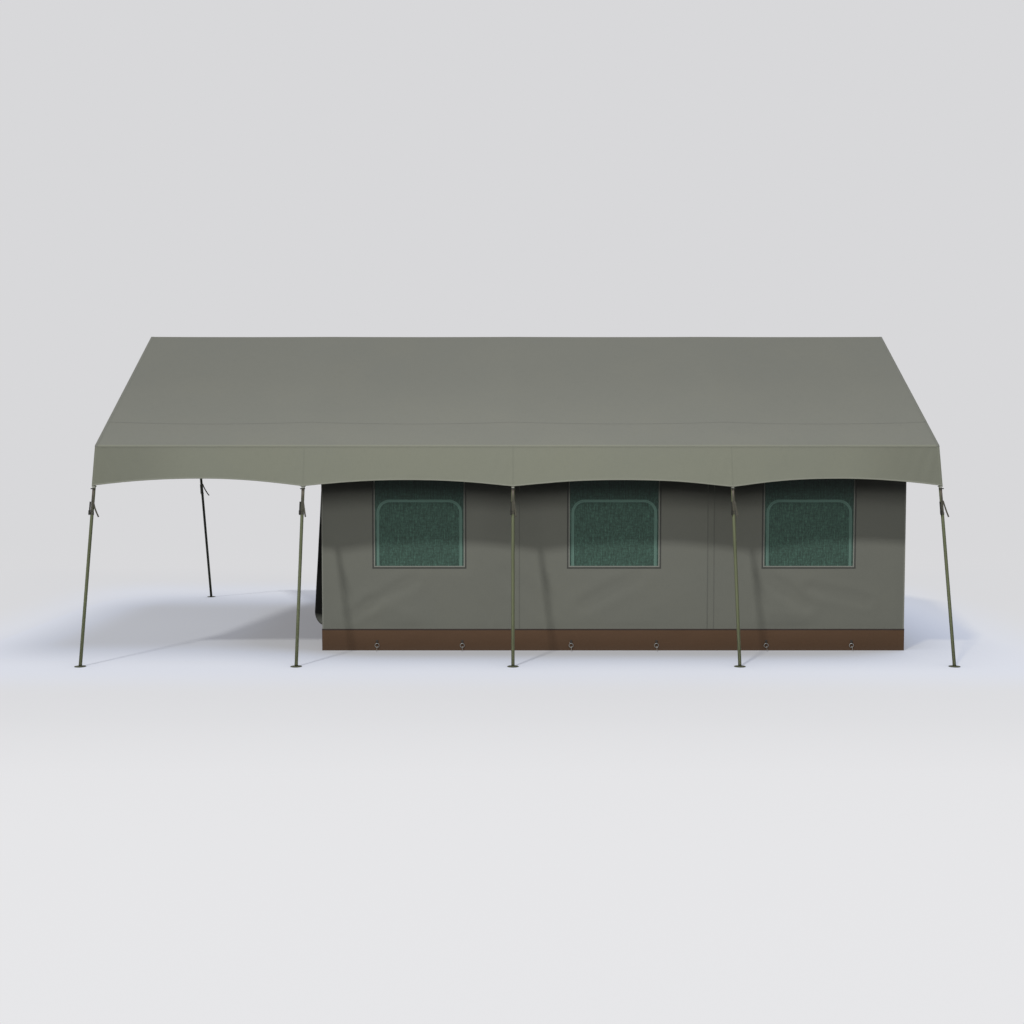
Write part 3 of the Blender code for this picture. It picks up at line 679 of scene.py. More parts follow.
CAM_RADIUS, CAM_WIDTH, CAM_OUT, CAM_DOWN = 0.0052, 0.0170, 0.0285, 0.792
AXLE_RADIUS, AXLE_LENGTH = 0.0020, 0.0235
LEVER_SIZE, LEVER_OUT, LEVER_DOWN, LEVER_TILT = (0.0160, 0.0026, 0.048), 0.0322, 0.812, -0.05
RIB_RADIUS, RIB_LENGTH, RIB_OUT, RIB_DOWN, RIB_APART = 0.0010, 0.0120, 0.0337, 0.817, 0.004
TOGGLE_RADIUS, TOGGLE_LENGTH, TOGGLE_OUT, TOGGLE_DOWN = 0.0062, 0.060, 0.0296, 0.517


def ruled(marks, step):
    """Places that hit every mark and are at most a step apart."""
    places = [marks[0]]
    for low, high in zip(marks, marks[1:]):
        places += steps(low, high, max(1, math.ceil((high - low) / step - 1e-6)))[1:]
    return places


def webbing(name, colour, low_colour, tacks=()):
    """Flat webbing with slanting ribs, fuzzy wear and bar tacks at places along its cut."""
    material, tree, shader = new_material(name, roughness=0.82, sheen_weight=0.2, sheen_roughness=0.5)
    along, across = cut_ways(tree)
    slant = times(calc("PINGPONG", across, 0.004), 260.0)
    rib = ramp(waves(plus(times(along, 420.0), slant), 1.0), -1.0, 1.0)
    fuzz = streaks(along, across, 60.0, 900.0)
    grime = patches(object_place(tree), 11.0, 4.0)
    base = mix(ramp(along, 0.54, 0.63), colour, low_colour)
    shown = mix(rib, filtered(base, (0.70, 0.70, 0.70)), base)
    shown = mix(ramp(fuzz, 0.35, 0.70, 0.0, 0.30), shown, shade(low_colour, 0.6))
    shown = mix(ramp(grime, 0.50, 0.76, 0.0, 0.35), shown, (0.070, 0.060, 0.045))
    relief = rib
    for spot in tacks:
        off = calc("ABSOLUTE", calc("SUBTRACT", along, spot))
        zigzag = ramp(waves(across, 0.0013), -0.9, 0.1)
        tack = times(ramp(off, 0.0052, 0.0046), zigzag)
        shown = mix(times(tack, 0.92), shown, (0.016, 0.014, 0.012))
        relief = plus(relief, times(tack, 1.5))
    finish(shader, shown, relief, 0.0006, 0.6)
    return material


def slab(size, centre, bevel, turn=0.0):
    """Block with rounded edges, turned about its first axis."""
    select()
    bpy.ops.mesh.primitive_cube_add(size=1, location=centre, rotation=(turn, 0, 0))
    block = bpy.context.object
    block.scale = size
    return settle(soften(settle(block), bevel))


def bar(radius, length, centre, bevel, sides):
    """Round bar lying across, with rounded ends."""
    return settle(soften(settle(rod(radius, length, centre, sides=sides)), bevel))


def cam_buckle():
    """Back plate with two cheeks, a toothed cam on its pin, a ribbed lever and the toggle bar. Each
    is drawn as across, out and down, and then turned into its place by the front leg at x 0."""
    plate = slab(PLATE_SIZE, (BUCKLE_ACROSS, PLATE_OUT, PLATE_DOWN), 0.0008)
    pick_faces(plate, lambda face: face.normal.y > 0.9)
    step_faces(inset=0.0026, shift=(0, -0.0009, 0))
    leave_edit()
    parts = [settle(plate)]
    for across in (BUCKLE_ACROSS - CHEEK_ACROSS, BUCKLE_ACROSS + CHEEK_ACROSS):
        parts.append(slab(CHEEK_SIZE, (across, CHEEK_OUT, CHEEK_DOWN), 0.0011))
    cam = (BUCKLE_ACROSS, CAM_OUT, CAM_DOWN)
    parts.append(bar(CAM_RADIUS, CAM_WIDTH, cam, 0.0010, 18))
    parts.append(bar(AXLE_RADIUS, AXLE_LENGTH, cam, 0.0006, 24))
    parts.append(slab(LEVER_SIZE, (BUCKLE_ACROSS, LEVER_OUT, LEVER_DOWN), 0.0009, LEVER_TILT))
    for k in range(4):
        rib = (BUCKLE_ACROSS, RIB_OUT, RIB_DOWN + RIB_APART * k)
        parts.append(bar(RIB_RADIUS, RIB_LENGTH, rib, 0.0004, 8))
    parts.append(bar(TOGGLE_RADIUS, TOGGLE_LENGTH, (0.0, TOGGLE_OUT, TOGGLE_DOWN), 0.0028, 20))
    whole = join(parts)
    (out, up), (eave_out, eave_up) = LEG_DOWN, EAVE
    whole.data.transform(Matrix(((1, 0, 0, 0), (0, up, -out, -eave_out), (0, out, up, eave_up), (0, 0, 0, 1))))
    return whole


def tail_point(across, t, reach):
    """Outer face of the loose tail, t from 0 at the buckle to 1 at its end."""
    start, end = Vector((0.012, 0.0012, 0.66)), Vector((reach, 0.024, 0.862))
    bend = Vector((0.022 + reach * 0.1, 0.010, 0.76))
    spot = start * (1 - t) ** 2 + bend * 2 * t * (1 - t) + end * t * t
    run = ((bend - start) * (1 - t) + (end - bend) * t).normalized()
    turned = across + 0.06 * across * math.sin(3 * t)
    curl = 0.0016 * math.sin(5 * t) + 0.10 * across * t
    return leg_point(spot.x + run.z * turned, TUBE_RADIUS + 0.003 + spot.y + curl, spot.z - run.x * turned)


def loop_point(turn, down):
    """Outer face of the loop round the leg."""
    turn = math.radians(turn)
    return leg_point(LOOP_RADIUS * math.sin(turn), LOOP_RADIUS * math.cos(turn), down)


def tab_point(across, down):
    """Outer face of the pale tab, which lies closer to the leg at its foot."""
    return leg_point(across, 0.0233 - 0.0010 * ease(down, 0.488, TAB_DOWN[1]), down)


strap = join([
    cloth(steps(STRAP_HALF, -STRAP_HALF, 6), ruled(STRAP_DOWN, 0.012), lambda u, v: leg_point(u, STRAP_OUT, v),
          STRAP_THICK, cut=lambda u, v: (v, u)),
    cloth(steps(360, 0, 36), LOOP_DOWN, loop_point, STRAP_THICK,
          cut=lambda turn, v: (0.9 + turn * 0.00038, v - LOOP_DOWN[1]))])
buckle = cam_buckle()
tab = cloth(steps(TAB_HALF, -TAB_HALF, 6), steps(*TAB_DOWN, 6), tab_point, 0.0014,
            cut=lambda u, v: (u, v - TAB_DOWN[0]))
tan_webbing = webbing(
    "tan_webbing_weave", (0.205, 0.172, 0.135), (0.072, 0.068, 0.046), (0.540, 0.668, 0.790, 0.945))
# The buckle's near-black paint is partly its own colour and partly painted shade on its side.
buckle_paint = satin_paint("buckle_paint", (0.022, 0.022, 0.017), (0.090, 0.082, 0.070), 0.62)
tab_canvas = sewn("tab_canvas", (0.300, 0.305, 0.258), (0.004, 0.041), thread=0.0012)
for side, name, x in both_sides(FRAME_X):
    reach = TAIL_REACH[FRAME_X.index(x)]
    tail = cloth(steps(TAIL_HALF, -TAIL_HALF, 5), steps(0, 1, 24), lambda u, t: tail_point(u, t, reach),
                 STRAP_THICK, cut=lambda u, t: (0.62 + 0.18 * t, u))
    whole = join([twin(strap), tail])
    keep(twin(whole, side, x), "hem_strap_" + name, tan_webbing, stands_for=["strap_" + name])
    keep(twin(buckle, side, x), "hem_buckle_" + name, buckle_paint)
    keep(twin(tab, side, x), "hem_tab_" + name, tab_canvas)
    remove(whole)
remove(strap, buckle, tab)


# Groundsheet: one tub of brown coated cloth, its floor laid flat and its four sides turned up as
# the skirt, with welded upright corners. The coating is satin over a fine scrim, dusty low down. A
# darker tape is folded over the skirt's top edge.
FLOOR_X = (-2.3861, 4.7410)
HALF_WIDTH = 2.112
SKIRT, SKIRT_LOOSE = 0.266, 0.0032
FLOOR_WIDE, FLOOR_LONG = FLOOR_X[1] - FLOOR_X[0], 2 * HALF_WIDTH
FLOOR_STEP, SKIRT_STEP = 0.06, 0.034
SKIRT_FOLD = (
    (0.0, 0.249), (0.0009, 0.2494), (0.0009, 0.2655), (0.0002, 0.2668), (-0.0016, 0.2670), (-0.0031, 0.2662))


def coated_cloth(name, colour):
    """Coated cloth: scrim showing faintly, fine crinkles, scuffs, and dust near the ground; darker towards the
    bottom.
    """
    material, tree, shader = new_material(name, 0.25)
    place = object_place(tree)
    height = xyz(place)[2]
    woven, along, across = weave(tree, 0.0026)
    cloudy = patches(place, 1.7, 3.0)
    crinkle = patches(place, 26.0, 5.0)
    scuffs = streaks(along, across, 9.0, 60.0, 4.0)
    dusty = times(ramp(height, 0.07, 0.0), patches(place, 30.0, 4.0))
    shown = mix(cloudy, shade(colour, 0.90), shade(colour, 1.10))
    shown = mix(ramp(woven, 0.0, 1.0, 0.14, 0.0), shown, shade(colour, 0.5))
    shown = mix(ramp(scuffs, 0.60, 0.82, 0.0, 0.22), shown, shade(colour, 1.9))
    shown = mix(times(dusty, 0.22), shown, (0.150, 0.125, 0.100))
    # Darker towards the bottom.
    shown = filtered(shown, ramp(height, 0.0, 0.24, 0.80, 1.0))
    relief = plus(times(crinkle, 2.4), times(woven, 0.35))
    finish(shader, shown, relief, 0.0010, 0.5, ramp(crinkle, 0.3, 0.7, 0.46, 0.64))
    return material


def folded(place, low, high):
    """Place between two fold lines, and how far past the nearer one."""
    return min(max(place, low), high), max(low - place, place - high, 0.0)


def tub_surface(u, v):
    """Outside of the tub from its flat cut: floor inside the folds, skirt beyond them."""
    x, past_x = folded(u, *FLOOR_X)
    y, past_y = folded(v, -HALF_WIDTH, HALF_WIDTH)
    up = max(past_x, past_y)
    loose = math.sin(math.pi * min(1.0, up / SKIRT)) * SKIRT_LOOSE
    if past_y > past_x:
        ends = ease(min(x - FLOOR_X[0], FLOOR_X[1] - x), 0.0, 0.25)
        y = math.copysign(abs(y) + loose * ends * (0.6 + ripple(x, up, 0.34, 4.0)), y)
    elif past_x > 0:
        ends = ease(HALF_WIDTH - abs(y), 0.0, 0.25)
        x += math.copysign(loose * ends * (0.6 + ripple(y, up, 0.34, 6.0)), u)
    return x, y, up


def tub_cut(low, high):
    """Places across the flat cut, closer together on the skirt than on the floor."""
    return (ruled((low - SKIRT, low), SKIRT_STEP) + ruled((low, high), FLOOR_STEP)[1:]
            + ruled((high, high + SKIRT), SKIRT_STEP)[1:])


def round_the_tub(u, out, z):
    """Point u metres along the tub's outline from its front left corner, grown outward."""
    wide, long = FLOOR_WIDE, FLOOR_LONG
    u = min(max(u, 0.0), 2 * (wide + long))
    sides = ((wide, -1, -1, 1, 0), (long, 1, -1, 0, 1), (wide, 1, 1, -1, 0), (long, -1, 1, 0, -1))
    for run, x_way, y_way, go_x, go_y in sides:
        if u <= run:
            break
        u -= run
    share = 2 * u / run
    middle = (FLOOR_X[0] + FLOOR_X[1]) / 2
    return middle + (wide / 2 + out) * (x_way + go_x * share), (long / 2 + out) * (y_way + go_y * share), z


tub = cloth(tub_cut(*FLOOR_X), tub_cut(-HALF_WIDTH, HALF_WIDTH), tub_surface, 0,
            dropped=lambda u, v: folded(u, *FLOOR_X)[1] > 0 and abs(v) > HALF_WIDTH)
pick_faces(tub, lambda face: True)
bpy.ops.mesh.remove_doubles(threshold=0.0002)
leave_edit()
use_modifier(tub, "SOLIDIFY", thickness=0.003, offset=1.0, use_even_offset=True)
settle(tub, 40)
brown_cloth = coated_cloth("brown_coated_cloth", (0.109, 0.0605, 0.0325))
keep(tub, "groundsheet_tub", brown_cloth, stands_for=["groundsheet"])
half_round = FLOOR_WIDE + FLOOR_LONG
corner_marks = (0.0, FLOOR_WIDE, half_round, half_round + FLOOR_WIDE, 2 * half_round)
skirt_binding = sewn(
    "skirt_binding_tape", (0.028, 0.017, 0.012), (0.004,), (0.020, 0.014, 0.011), thread=0.0018)
binding = strip(ruled(corner_marks, 0.1), SKIRT_FOLD, lambda u, k: round_the_tub(u, *SKIRT_FOLD[k]))
keep(binding, "groundsheet_binding", skirt_binding)


# Skirt rings: twelve galvanised steel rings hang from dark folded canvas tabs sewn to the skirt,
# each held by a bright bent wire peg. The tabs are stitched along both edges and the rings lean a
# little outward.
RING_X = (-1.713, -0.67, 0.662, 1.707, 3.050, 4.094)
RING_RADIUS, RING_WIRE, RING_LEAN = 0.0255, 0.0030, 9
RING_OUT, RING_UP = 0.0125, 0.064
RING_TAB_HALF, RING_TAB_TOP = 0.0125, 0.129
TAB_BACK, TAB_FRONT = 0.0030, 0.0145
BEND_RADIUS, BEND_OUT, BEND_UP = 0.0062, 0.0085, 0.0898
PEG_X, PEG_WIRE = 0.002, 0.0027
PEG_BENDS = (
    (2.1205, 0.0440), (2.1225, 0.0525), (2.1330, 0.0530), (2.1440, 0.0420), (2.1760, 0.0200), (2.2050, 0.0026))


def bright_steel(name, colour, roughness):
    """Galvanised steel: cloudy grey zinc with fine scratches and dull spots."""
    material, tree, shader = new_material(name, metallic=0.85)
    place = object_place(tree)
    cloudy = patches(place, 160.0, 4.0)
    stretched = add_node("VectorMath", {0: place, 1: (60.0, 900.0, 900.0)}, operation="MULTIPLY")
    scratches = patches(stretched.outputs[0], 1.0, 3.0)
    spots = ramp(patches(place, 300.0, 3.0), 0.66, 0.74, 0.0, 0.6)
    shown = mix(cloudy, shade(colour, 0.72), shade(colour, 1.15))
    shown = mix(spots, shown, (0.160, 0.130, 0.100))
    rough = ramp(scratches, 0.35, 0.65, roughness - 0.08, roughness + 0.12)
    finish(shader, shown, plus(cloudy, scratches), 0.0002, 0.3, rough)
    return material


def wire(points, radius):
    """Round rod bent through the points."""
    line = bpy.data.curves.new("wire", "CURVE")
    line.dimensions = "3D"
    line.bevel_depth = radius
    line.bevel_resolution = 3
    line.use_fill_caps = True
    run = line.splines.new("NURBS")
    run.points.add(len(points) - 1)
    for point, spot in zip(run.points, points):
        point.co = (*spot, 1)
    run.order_u = 3
    run.use_endpoint_u = True
    run.resolution_u = 6
    bent = bpy.data.objects.new("wire", line)
    scene.collection.objects.link(bent)
    select(bent)
    bpy.ops.object.convert(target="MESH")
    return settle(bpy.context.object)


def tab_path(k):
    """Out and up of the tab's outer face, from the skirt down round the ring's wire and back."""
    if k in (0, 10):
        return TAB_BACK if k else TAB_FRONT, RING_TAB_TOP
    turn = math.radians(180 * (k - 1) / 8)
    return BEND_OUT + BEND_RADIUS * math.cos(turn), BEND_UP - BEND_RADIUS * math.sin(turn)


select()
bpy.ops.mesh.primitive_torus_add(
    major_segments=64, minor_segments=14, major_radius=RING_RADIUS, minor_radius=RING_WIRE,
    location=(0, -HALF_WIDTH - RING_OUT, RING_UP), rotation=(math.radians(90 + RING_LEAN), 0, 0))
ring = settle(bpy.context.object)
ring_tab = cloth(steps(RING_TAB_HALF, -RING_TAB_HALF, 6), range(11),
                 lambda u, k: (u, -HALF_WIDTH - tab_path(k)[0], tab_path(k)[1]), 0.0016,
                 cut=lambda u, k: (u, RING_TAB_TOP - tab_path(k)[1]))
peg = wire([(PEG_X, -out, up) for out, up in PEG_BENDS], PEG_WIRE)
zinc = bright_steel("galvanised_steel", (0.46, 0.47, 0.45), 0.38)
peg_zinc = bright_steel("peg_steel", (0.66, 0.67, 0.65), 0.34)
tab_cloth = sewn("ring_tab_canvas", (0.032, 0.024, 0.018), (0.004, 0.021), thread=0.0012)
for side, name, x in both_sides(RING_X):
    keep(twin(ring, side, x), "skirt_ring_" + name, zinc)
    keep(twin(ring_tab, side, x), "skirt_tab_" + name, tab_cloth)
    keep(twin(peg, side, x), "ground_peg_" + name, peg_zinc)
remove(ring, ring_tab, peg)


# Long walls: one sheet of proofed canvas a side, tucked behind the skirt, with soft slanting
# creases low down. Lapped seams mark the two partitions and a paler tape covers each corner. The
# three window holes are bound pale inside and dark outside, with mitred corners; the dark outer
# tape stands partly for painted shade in the groove beside the pale one.
ROOM_EDGES = (-2.3861, -0.0104, 2.3653, 4.7410)
PARTITION_X = ROOM_EDGES[1:3]
WINDOW_X = (-1.1913, 1.1844, 3.5602)
WINDOW_HALF = 0.542
SILL, HEAD = 1.038, 2.20
WALL_X = (-2.3828, 4.7377)
WALL_OUT = 2.1087
WALL_Z = (0.216, 2.6225)
SEAM_Z = (0.262, 2.600)
WALL_THICK = 0.002
BULGE, SMALL_BULGE = 0.0022, 0.0009
PUCKER, PUCKER_APART, PUCKER_REACH = 0.0013, 0.042, 0.10
CREASES = (
    (-1.26, 0.87, -1.79, 0.575, 0.075, -0.0068), (-1.79, 0.575, -2.06, 0.40, 0.070, -0.0060),
    (-1.50, 0.50, -1.30, 0.44, 0.095, 0.0080), (-0.43, 0.57, -0.33, 0.35, 0.035, -0.0040),
    (3.01, 0.92, 3.52, 0.57, 0.090, -0.0080), (3.57, 0.77, 4.28, 0.61, 0.065, -0.0055),
    (3.12, 0.47, 3.36, 0.44, 0.080, 0.0085), (0.82, 0.56, 1.46, 0.90, 0.085, -0.0055),
    (1.55, 0.50, 2.05, 0.72, 0.090, 0.0035), (-0.15, 0.95, 0.35, 0.50, 0.100, -0.0035))
PALE_EDGE = ((-0.0025, -0.0010), (-0.0022, 0.0010), (-0.0008, 0.0014), (0.0115, 0.0014), (0.0120, 0.0002))
DARK_EDGE = ((0.0118, 0.0), (0.0121, 0.0009), (0.031, 0.0009), (0.0315, 0.0))


def from_window(x, z):
    """Metres outside the nearest window hole, 0 within it."""
    return min(max(abs(x - at) - WINDOW_HALF, SILL - z, z - HEAD, 0.0) for at in WINDOW_X)


def wall_out(x, z):
    """How far the front wall's canvas stands out from its flat plane."""
    spot = Vector((x, z))
    out = BULGE * (1 + ripple(x, z, 0.75, 2.0)) + SMALL_BULGE * ripple(x, z, 0.22, 8.0)
    for ax, az, bx, bz, size, height in CREASES:
        start, run = Vector((ax, az)), Vector((bx - ax, bz - az))
        off = (spot - start - run * between((spot - start).dot(run), 0.0, run.length_squared)).length
        out += height * math.exp(-(off / size) ** 2)
        out += 0.45 * abs(height) * math.exp(-((off - 1.6 * size) / size) ** 2)
    for edge in PARTITION_X:
        off = abs(x - edge)
        out += PUCKER * math.cos(2 * math.pi * off / PUCKER_APART) * math.exp(-off / PUCKER_REACH)
    out *= ease(z, SEAM_Z[0], 0.36) * (1 - ease(z, 2.45, SEAM_Z[1]))
    out *= ease(from_window(x, z), 0.030, 0.12) * ease(min(x - WALL_X[0], WALL_X[1] - x), 0.015, 0.12)
    return max(0.0, out)


def wall_surface(x, z):
    """Outside of the front wall."""
    return x, -WALL_OUT - wall_out(x, z), z


def square_path(half, low, high, x=0.0):
    """Clockwise rectangle whose tape is mitred at each corner."""
    turns = ((1, 1), (1, -1), (-1, -1), (-1, 1), (1, 1))
    return [(x + side * half, high if up > 0 else low, side, up) for side, up in turns]


def edging(path, profile, plane):
    """Tape along a path on a front wall plane, profile giving (place outward, lift)."""
    def place(k, j):
        x, z, side, up = path[k]
        out, lift = profile[j]
        return x + side * out, -plane - lift, z + up * out

    return strip(range(len(path)), profile, place, run_lengths(path))


def beside(z, back):
    """The front wall's outside with its upright run first."""
    return wall_surface(-back, z)


wall_marks = sorted([*WALL_X] + [at + way * WINDOW_HALF for at in WINDOW_X for way in (-1, 1)])
front_wall = cloth(ruled(wall_marks, 0.022), ruled((WALL_Z[0], SILL, HEAD, WALL_Z[1]), 0.035), wall_surface,
                   WALL_THICK, dropped=lambda x, z: from_window(x, z) == 0)
wall_canvas = canvas(
    "wall_canvas_weave", (0.175, 0.179, 0.149), thread=0.0014, unevenness=0.04, weathering=0.06)
# The wall canvas is painted darker near its top, as the shade under the valance.
for low, high, painted_shade_share in ((1.68, 2.00, 0.72), (1.92, 2.03, 0.50)):
    paint_shade_along(wall_canvas, "Z", low, high, 1.0, painted_shade_share)
wall_seam = sewn("wall_seam_canvas", (0.144, 0.148, 0.124), (0.003, 0.011), (0.100, 0.102, 0.086))
corner_tape = sewn("wall_corner_tape", (0.262, 0.266, 0.225), (0.003, 0.013))
pale_binding = sewn("window_pale_binding", (0.262, 0.272, 0.236), (0.007,))
# The dark outer binding is partly a real tape and partly painted shade in the groove beside the pale one.
dark_binding = sewn("window_dark_binding", (0.062, 0.063, 0.054), (0.003, 0.017), (0.030, 0.030, 0.026))
upright = steps(*SEAM_Z, 60)
seam_places = [-edge - gap - 0.007 for edge in PARTITION_X for gap in (-0.039, 0.039)]
wall_seams = join([band(upright, sewn_on(0.014, low), beside) for low in seam_places])
corner_places = (-WALL_X[1] + 0.0004, -WALL_X[0] - 0.0164)
corners = join([band(upright, sewn_on(0.016, low), beside) for low in corner_places])
hole_edges = [square_path(WINDOW_HALF + 0.001, SILL - 0.001, HEAD + 0.001, x) for x in WINDOW_X]
pale_frames = join([edging(path, PALE_EDGE, WALL_OUT) for path in hole_edges])
dark_frames = join([edging(path, DARK_EDGE, WALL_OUT) for path in hole_edges])
wall_trims = (("_seams", wall_seams, wall_seam), ("_corners", corners, corner_tape),
              ("_pale_bindings", pale_frames, pale_binding), ("_dark_bindings", dark_frames, dark_binding))
for side in SIDES:
    name = "wall_" + side
    sheet = keep(twin(front_wall, side), name + "_canvas", wall_canvas, stands_for=[name])
    trims = [keep(twin(pattern, side), name + word, finish_used)
             for word, pattern, finish_used in wall_trims]
remove(front_wall, wall_seams, corners, pale_frames, dark_frames)


# Window nets: fine green knitted net sewn behind each hole, standing out by a few millimetres. An
# arched tape with the closed side of a zip is sewn on it, and the cloth inside the arch is paler.
NET_FACE = 2.1064
NET_HALF = 0.558
NET_Z = (0.975, 2.23)
NET_THICK, NET_BELLY = 0.0011, 0.0042
ARCH_HALF, ARCH_TOP, ARCH_ROUND = 0.5045, 1.8335, 0.145
ZIP_TAPE = ((-0.0162, 0.0), (-0.0158, 0.0008), (0.0158, 0.0008), (0.0162, 0.0))
ZIP_COIL = ((-0.0018, 0.0), (-0.0016, 0.0018), (0.0016, 0.0018), (0.0018, 0.0))


def rounded_path(x, half, low, high, radius, part):
    """Clockwise half of a rounded rectangle as (x, z, sideways x, sideways z), its top or bottom."""
    lower, upper = low + radius, high - radius
    turns, ends = {
        "top": (((-1, upper, 180), (1, upper, 90)), ((-1, low), (1, low))),
        "bottom": (((1, lower, 0), (-1, lower, -90)), ((1, high), (-1, high)))}[part]
    path = []
    for way, z, start in turns:
        for share in steps(0, 1, 10):
            turn = math.radians(start - 90 * share)
            side, up = math.cos(turn), math.sin(turn)
            path.append((x + way * (half - radius) + radius * side, z + radius * up, side, up))
    first, last = [(x + way * half, z, way, 0) for way, z in ends]
    return [first] + path + [last]


def netting(name, colour):
    """Knitted net: pale threads round dark holes, with uneven upright threads; paler in the arch."""
    material, tree, shader = new_material(name, roughness=0.75, sheen_weight=0.1)
    along, across = cut_ways(tree)
    threads = 0.0
    for way in (along, across):
        beat = calc("ABSOLUTE", waves(way, 0.0032))
        threads = calc("MAXIMUM", threads, ramp(beat, 0.38, 0.20))
    upright_threads = streaks(along, across, 230.0, 1.6, 4.0)
    wide_streaks = streaks(along, across, 38.0, 0.8, 3.0)
    shown = mix(threads, shade(colour, 0.72), shade(colour, 1.65))
    shown = mix(ramp(upright_threads, 0.42, 0.66, 0.0, 0.34), shown, shade(colour, 1.8))
    for wide, high, low, top in ((60.0, 30.0, 0.68, 1.32), (76.0, 7.0, 0.70, 1.30), (13.0, 66.0, 0.80, 1.20)):
        knots = streaks(along, across, wide, high, 1.0)
        shown = filtered(shown, ramp(knots, 0.32, 0.68, low, top))
    shown = mix(ramp(wide_streaks, 0.40, 0.62, 0.0, 0.22), shown, shade(colour, 0.55))
    in_sides = ramp(calc("ABSOLUTE", along), 0.492, 0.478)
    in_arch = calc("MINIMUM", in_sides, ramp(across, 1.828, 1.815))
    shown = filtered(shown, ramp(in_arch, 0.0, 1.0, 0.90, 1.08))
    finish(shader, shown, plus(threads, upright_threads), 0.0005, 0.6)
    return material


def net_out(x, z, at):
    """How far the net stands out, nothing at the hole's edge."""
    inset = min(WINDOW_HALF - abs(x - at), z - SILL, HEAD - z)
    return NET_BELLY * ease(inset, 0.006, 0.22) * (0.62 + 0.38 * ripple(x, z, 0.28, 7.0))


def on_arch(x, profile):
    """Tape round the arch of the front window at x, lying on its net."""
    path = rounded_path(x, ARCH_HALF, SILL + 0.002, ARCH_TOP, ARCH_ROUND, "top")
    tape = edging(path, profile, NET_FACE)
    for vertex in tape.data.vertices:
        vertex.co.y -= net_out(vertex.co.x, vertex.co.z, x)
    return tape


def for_side(side, pieces):
    """Pieces drawn on the front side, turned into the rear's where asked."""
    if side == "front":
        return pieces
    turned = [twin(piece, side) for piece in pieces]
    remove(*pieces)
    return turned


# The net is painted darker near its top, as the shade under the valance.
green_net = paint_shade_along(netting("green_net_knit", (0.0335, 0.0745, 0.0545)), "Z", 1.75, 2.10, 1.0, 0.25)
zip_tape = sewn("net_zip_tape", (0.135, 0.245, 0.198), (0.0035, 0.0285), (0.075, 0.125, 0.105), thread=0.0014)
coil = sewn("zip_coil_weave", (0.060, 0.095, 0.080), (0.0012, 0.0024), (0.130, 0.190, 0.165), stitch=0.0024,
            thread=0.0010)
for side, name, x in both_sides(WINDOW_X):
    net = cloth(ruled((x - NET_HALF, x - WINDOW_HALF, x + WINDOW_HALF, x + NET_HALF), 0.035),
                ruled((NET_Z[0], SILL, HEAD, NET_Z[1]), 0.035),
                lambda u, z: (u, -NET_FACE - net_out(u, z, x), z), NET_THICK, cut=lambda u, z: (u - x, z))
    net, tape, teeth = for_side(side, [net, on_arch(x, ZIP_TAPE), on_arch(x, ZIP_COIL)])
    keep(net, "window_net_knit_" + name, green_net, stands_for=["window_net_" + name])
    keep(tape, "window_zip_tape_" + name, zip_tape)
    keep(teeth, "window_zip_coil_" + name, coil)


# Window flaps: an arched canvas flap hangs open inside each sill from its sewn edge. Its two lower
# corners are round, and zip tape is folded over the whole free edge.
FLAP_FACE = 2.10445
FLAP_SHIFT = -0.007
FLAP_HALF = 0.505
FLAP_TOP, FLAP_FOOT = 0.9846, 0.140
FLAP_ROUND = 0.158
FLAP_THICK = 0.0015
FLAP_FOLD = ((-0.0140, 0.0), (-0.0137, 0.0003), (0.0004, 0.0003), (0.0012, -0.00075), (0.0004, -0.0019),
             (-0.0137, -0.0019), (-0.0140, -0.0015))


def flap_half(z):
    """Half width of the flap at a height."""
    below = max(0.0, FLAP_FOOT + FLAP_ROUND - z)
    return FLAP_HALF - FLAP_ROUND + math.sqrt(max(0.0, FLAP_ROUND ** 2 - below ** 2))


flap_canvas = canvas("flap_canvas_weave", (0.172, 0.176, 0.150), thread=0.0014)
flap_tape = sewn("flap_zip_tape", (0.100, 0.150, 0.125), (0.004, 0.014), (0.050, 0.070, 0.060), thread=0.0014)
flap_rows = steps(FLAP_TOP, FLAP_FOOT, 30)[:-1] + [FLAP_FOOT + up for up in (0.010, 0.004, 0.001, 0.0)]
for side, name, window_x in both_sides(WINDOW_X):
    x = window_x + FLAP_SHIFT
    flap = cloth(steps(1, -1, 30), flap_rows, lambda u, z: (x + u * flap_half(z), -FLAP_FACE, z), FLAP_THICK,
                 cut=lambda u, z: (u * flap_half(z), z))
    outline = rounded_path(x, FLAP_HALF, FLAP_FOOT, FLAP_TOP, FLAP_ROUND, "bottom")
    flap, tape = for_side(side, [flap, edging(outline, FLAP_FOLD, FLAP_FACE)])
    body = "window_flap_" + name
    keep(flap, "window_flap_canvas_" + name, flap_canvas, body, [body])
    keep(tape, "window_flap_tape_" + name, flap_tape, body)


# End walls and partitions: five-sided canvas panels up to the inner roof. The veranda end has a
# wide doorway, the far end is plain with a seam up its middle, and each partition has a doorway
# that a canvas door covers. The doorways and the doors are bound in darker tape.
GABLE_HALF = 2.1064
EAVE_LINE, EAVE_HEIGHT, ROOF_GAP = 2.600, 2.620, 0.0004
PARTITION_FOOT = 0.0033
DOORWAY = (1.930, 0.296, 2.120)
FLAT_ROUND_DOORWAY = 0.03
PARTITION_DOOR = (0.450, 0.150, 2.000)
DOOR_HALF, DOOR_Z = 0.48, (0.12, 2.03)
DOOR_BEHIND = 0.0034
DOORWAY_EDGE = ((0.0, 0.0), (0.0004, 0.0003), (0.018, 0.0003), (0.0184, 0.0))
DOOR_FOLD = (
    (-0.014, 0.0), (-0.0136, 0.0008), (0.0025, 0.0008), (0.0034, -0.001), (0.0025, -0.0023), (-0.0136, -0.0023))


def ceiling(y):
    """Height of the inner roof's underside at y."""
    return EAVE_HEIGHT + (HALF_WIDTH - abs(y)) * math.tan(SLOPE)


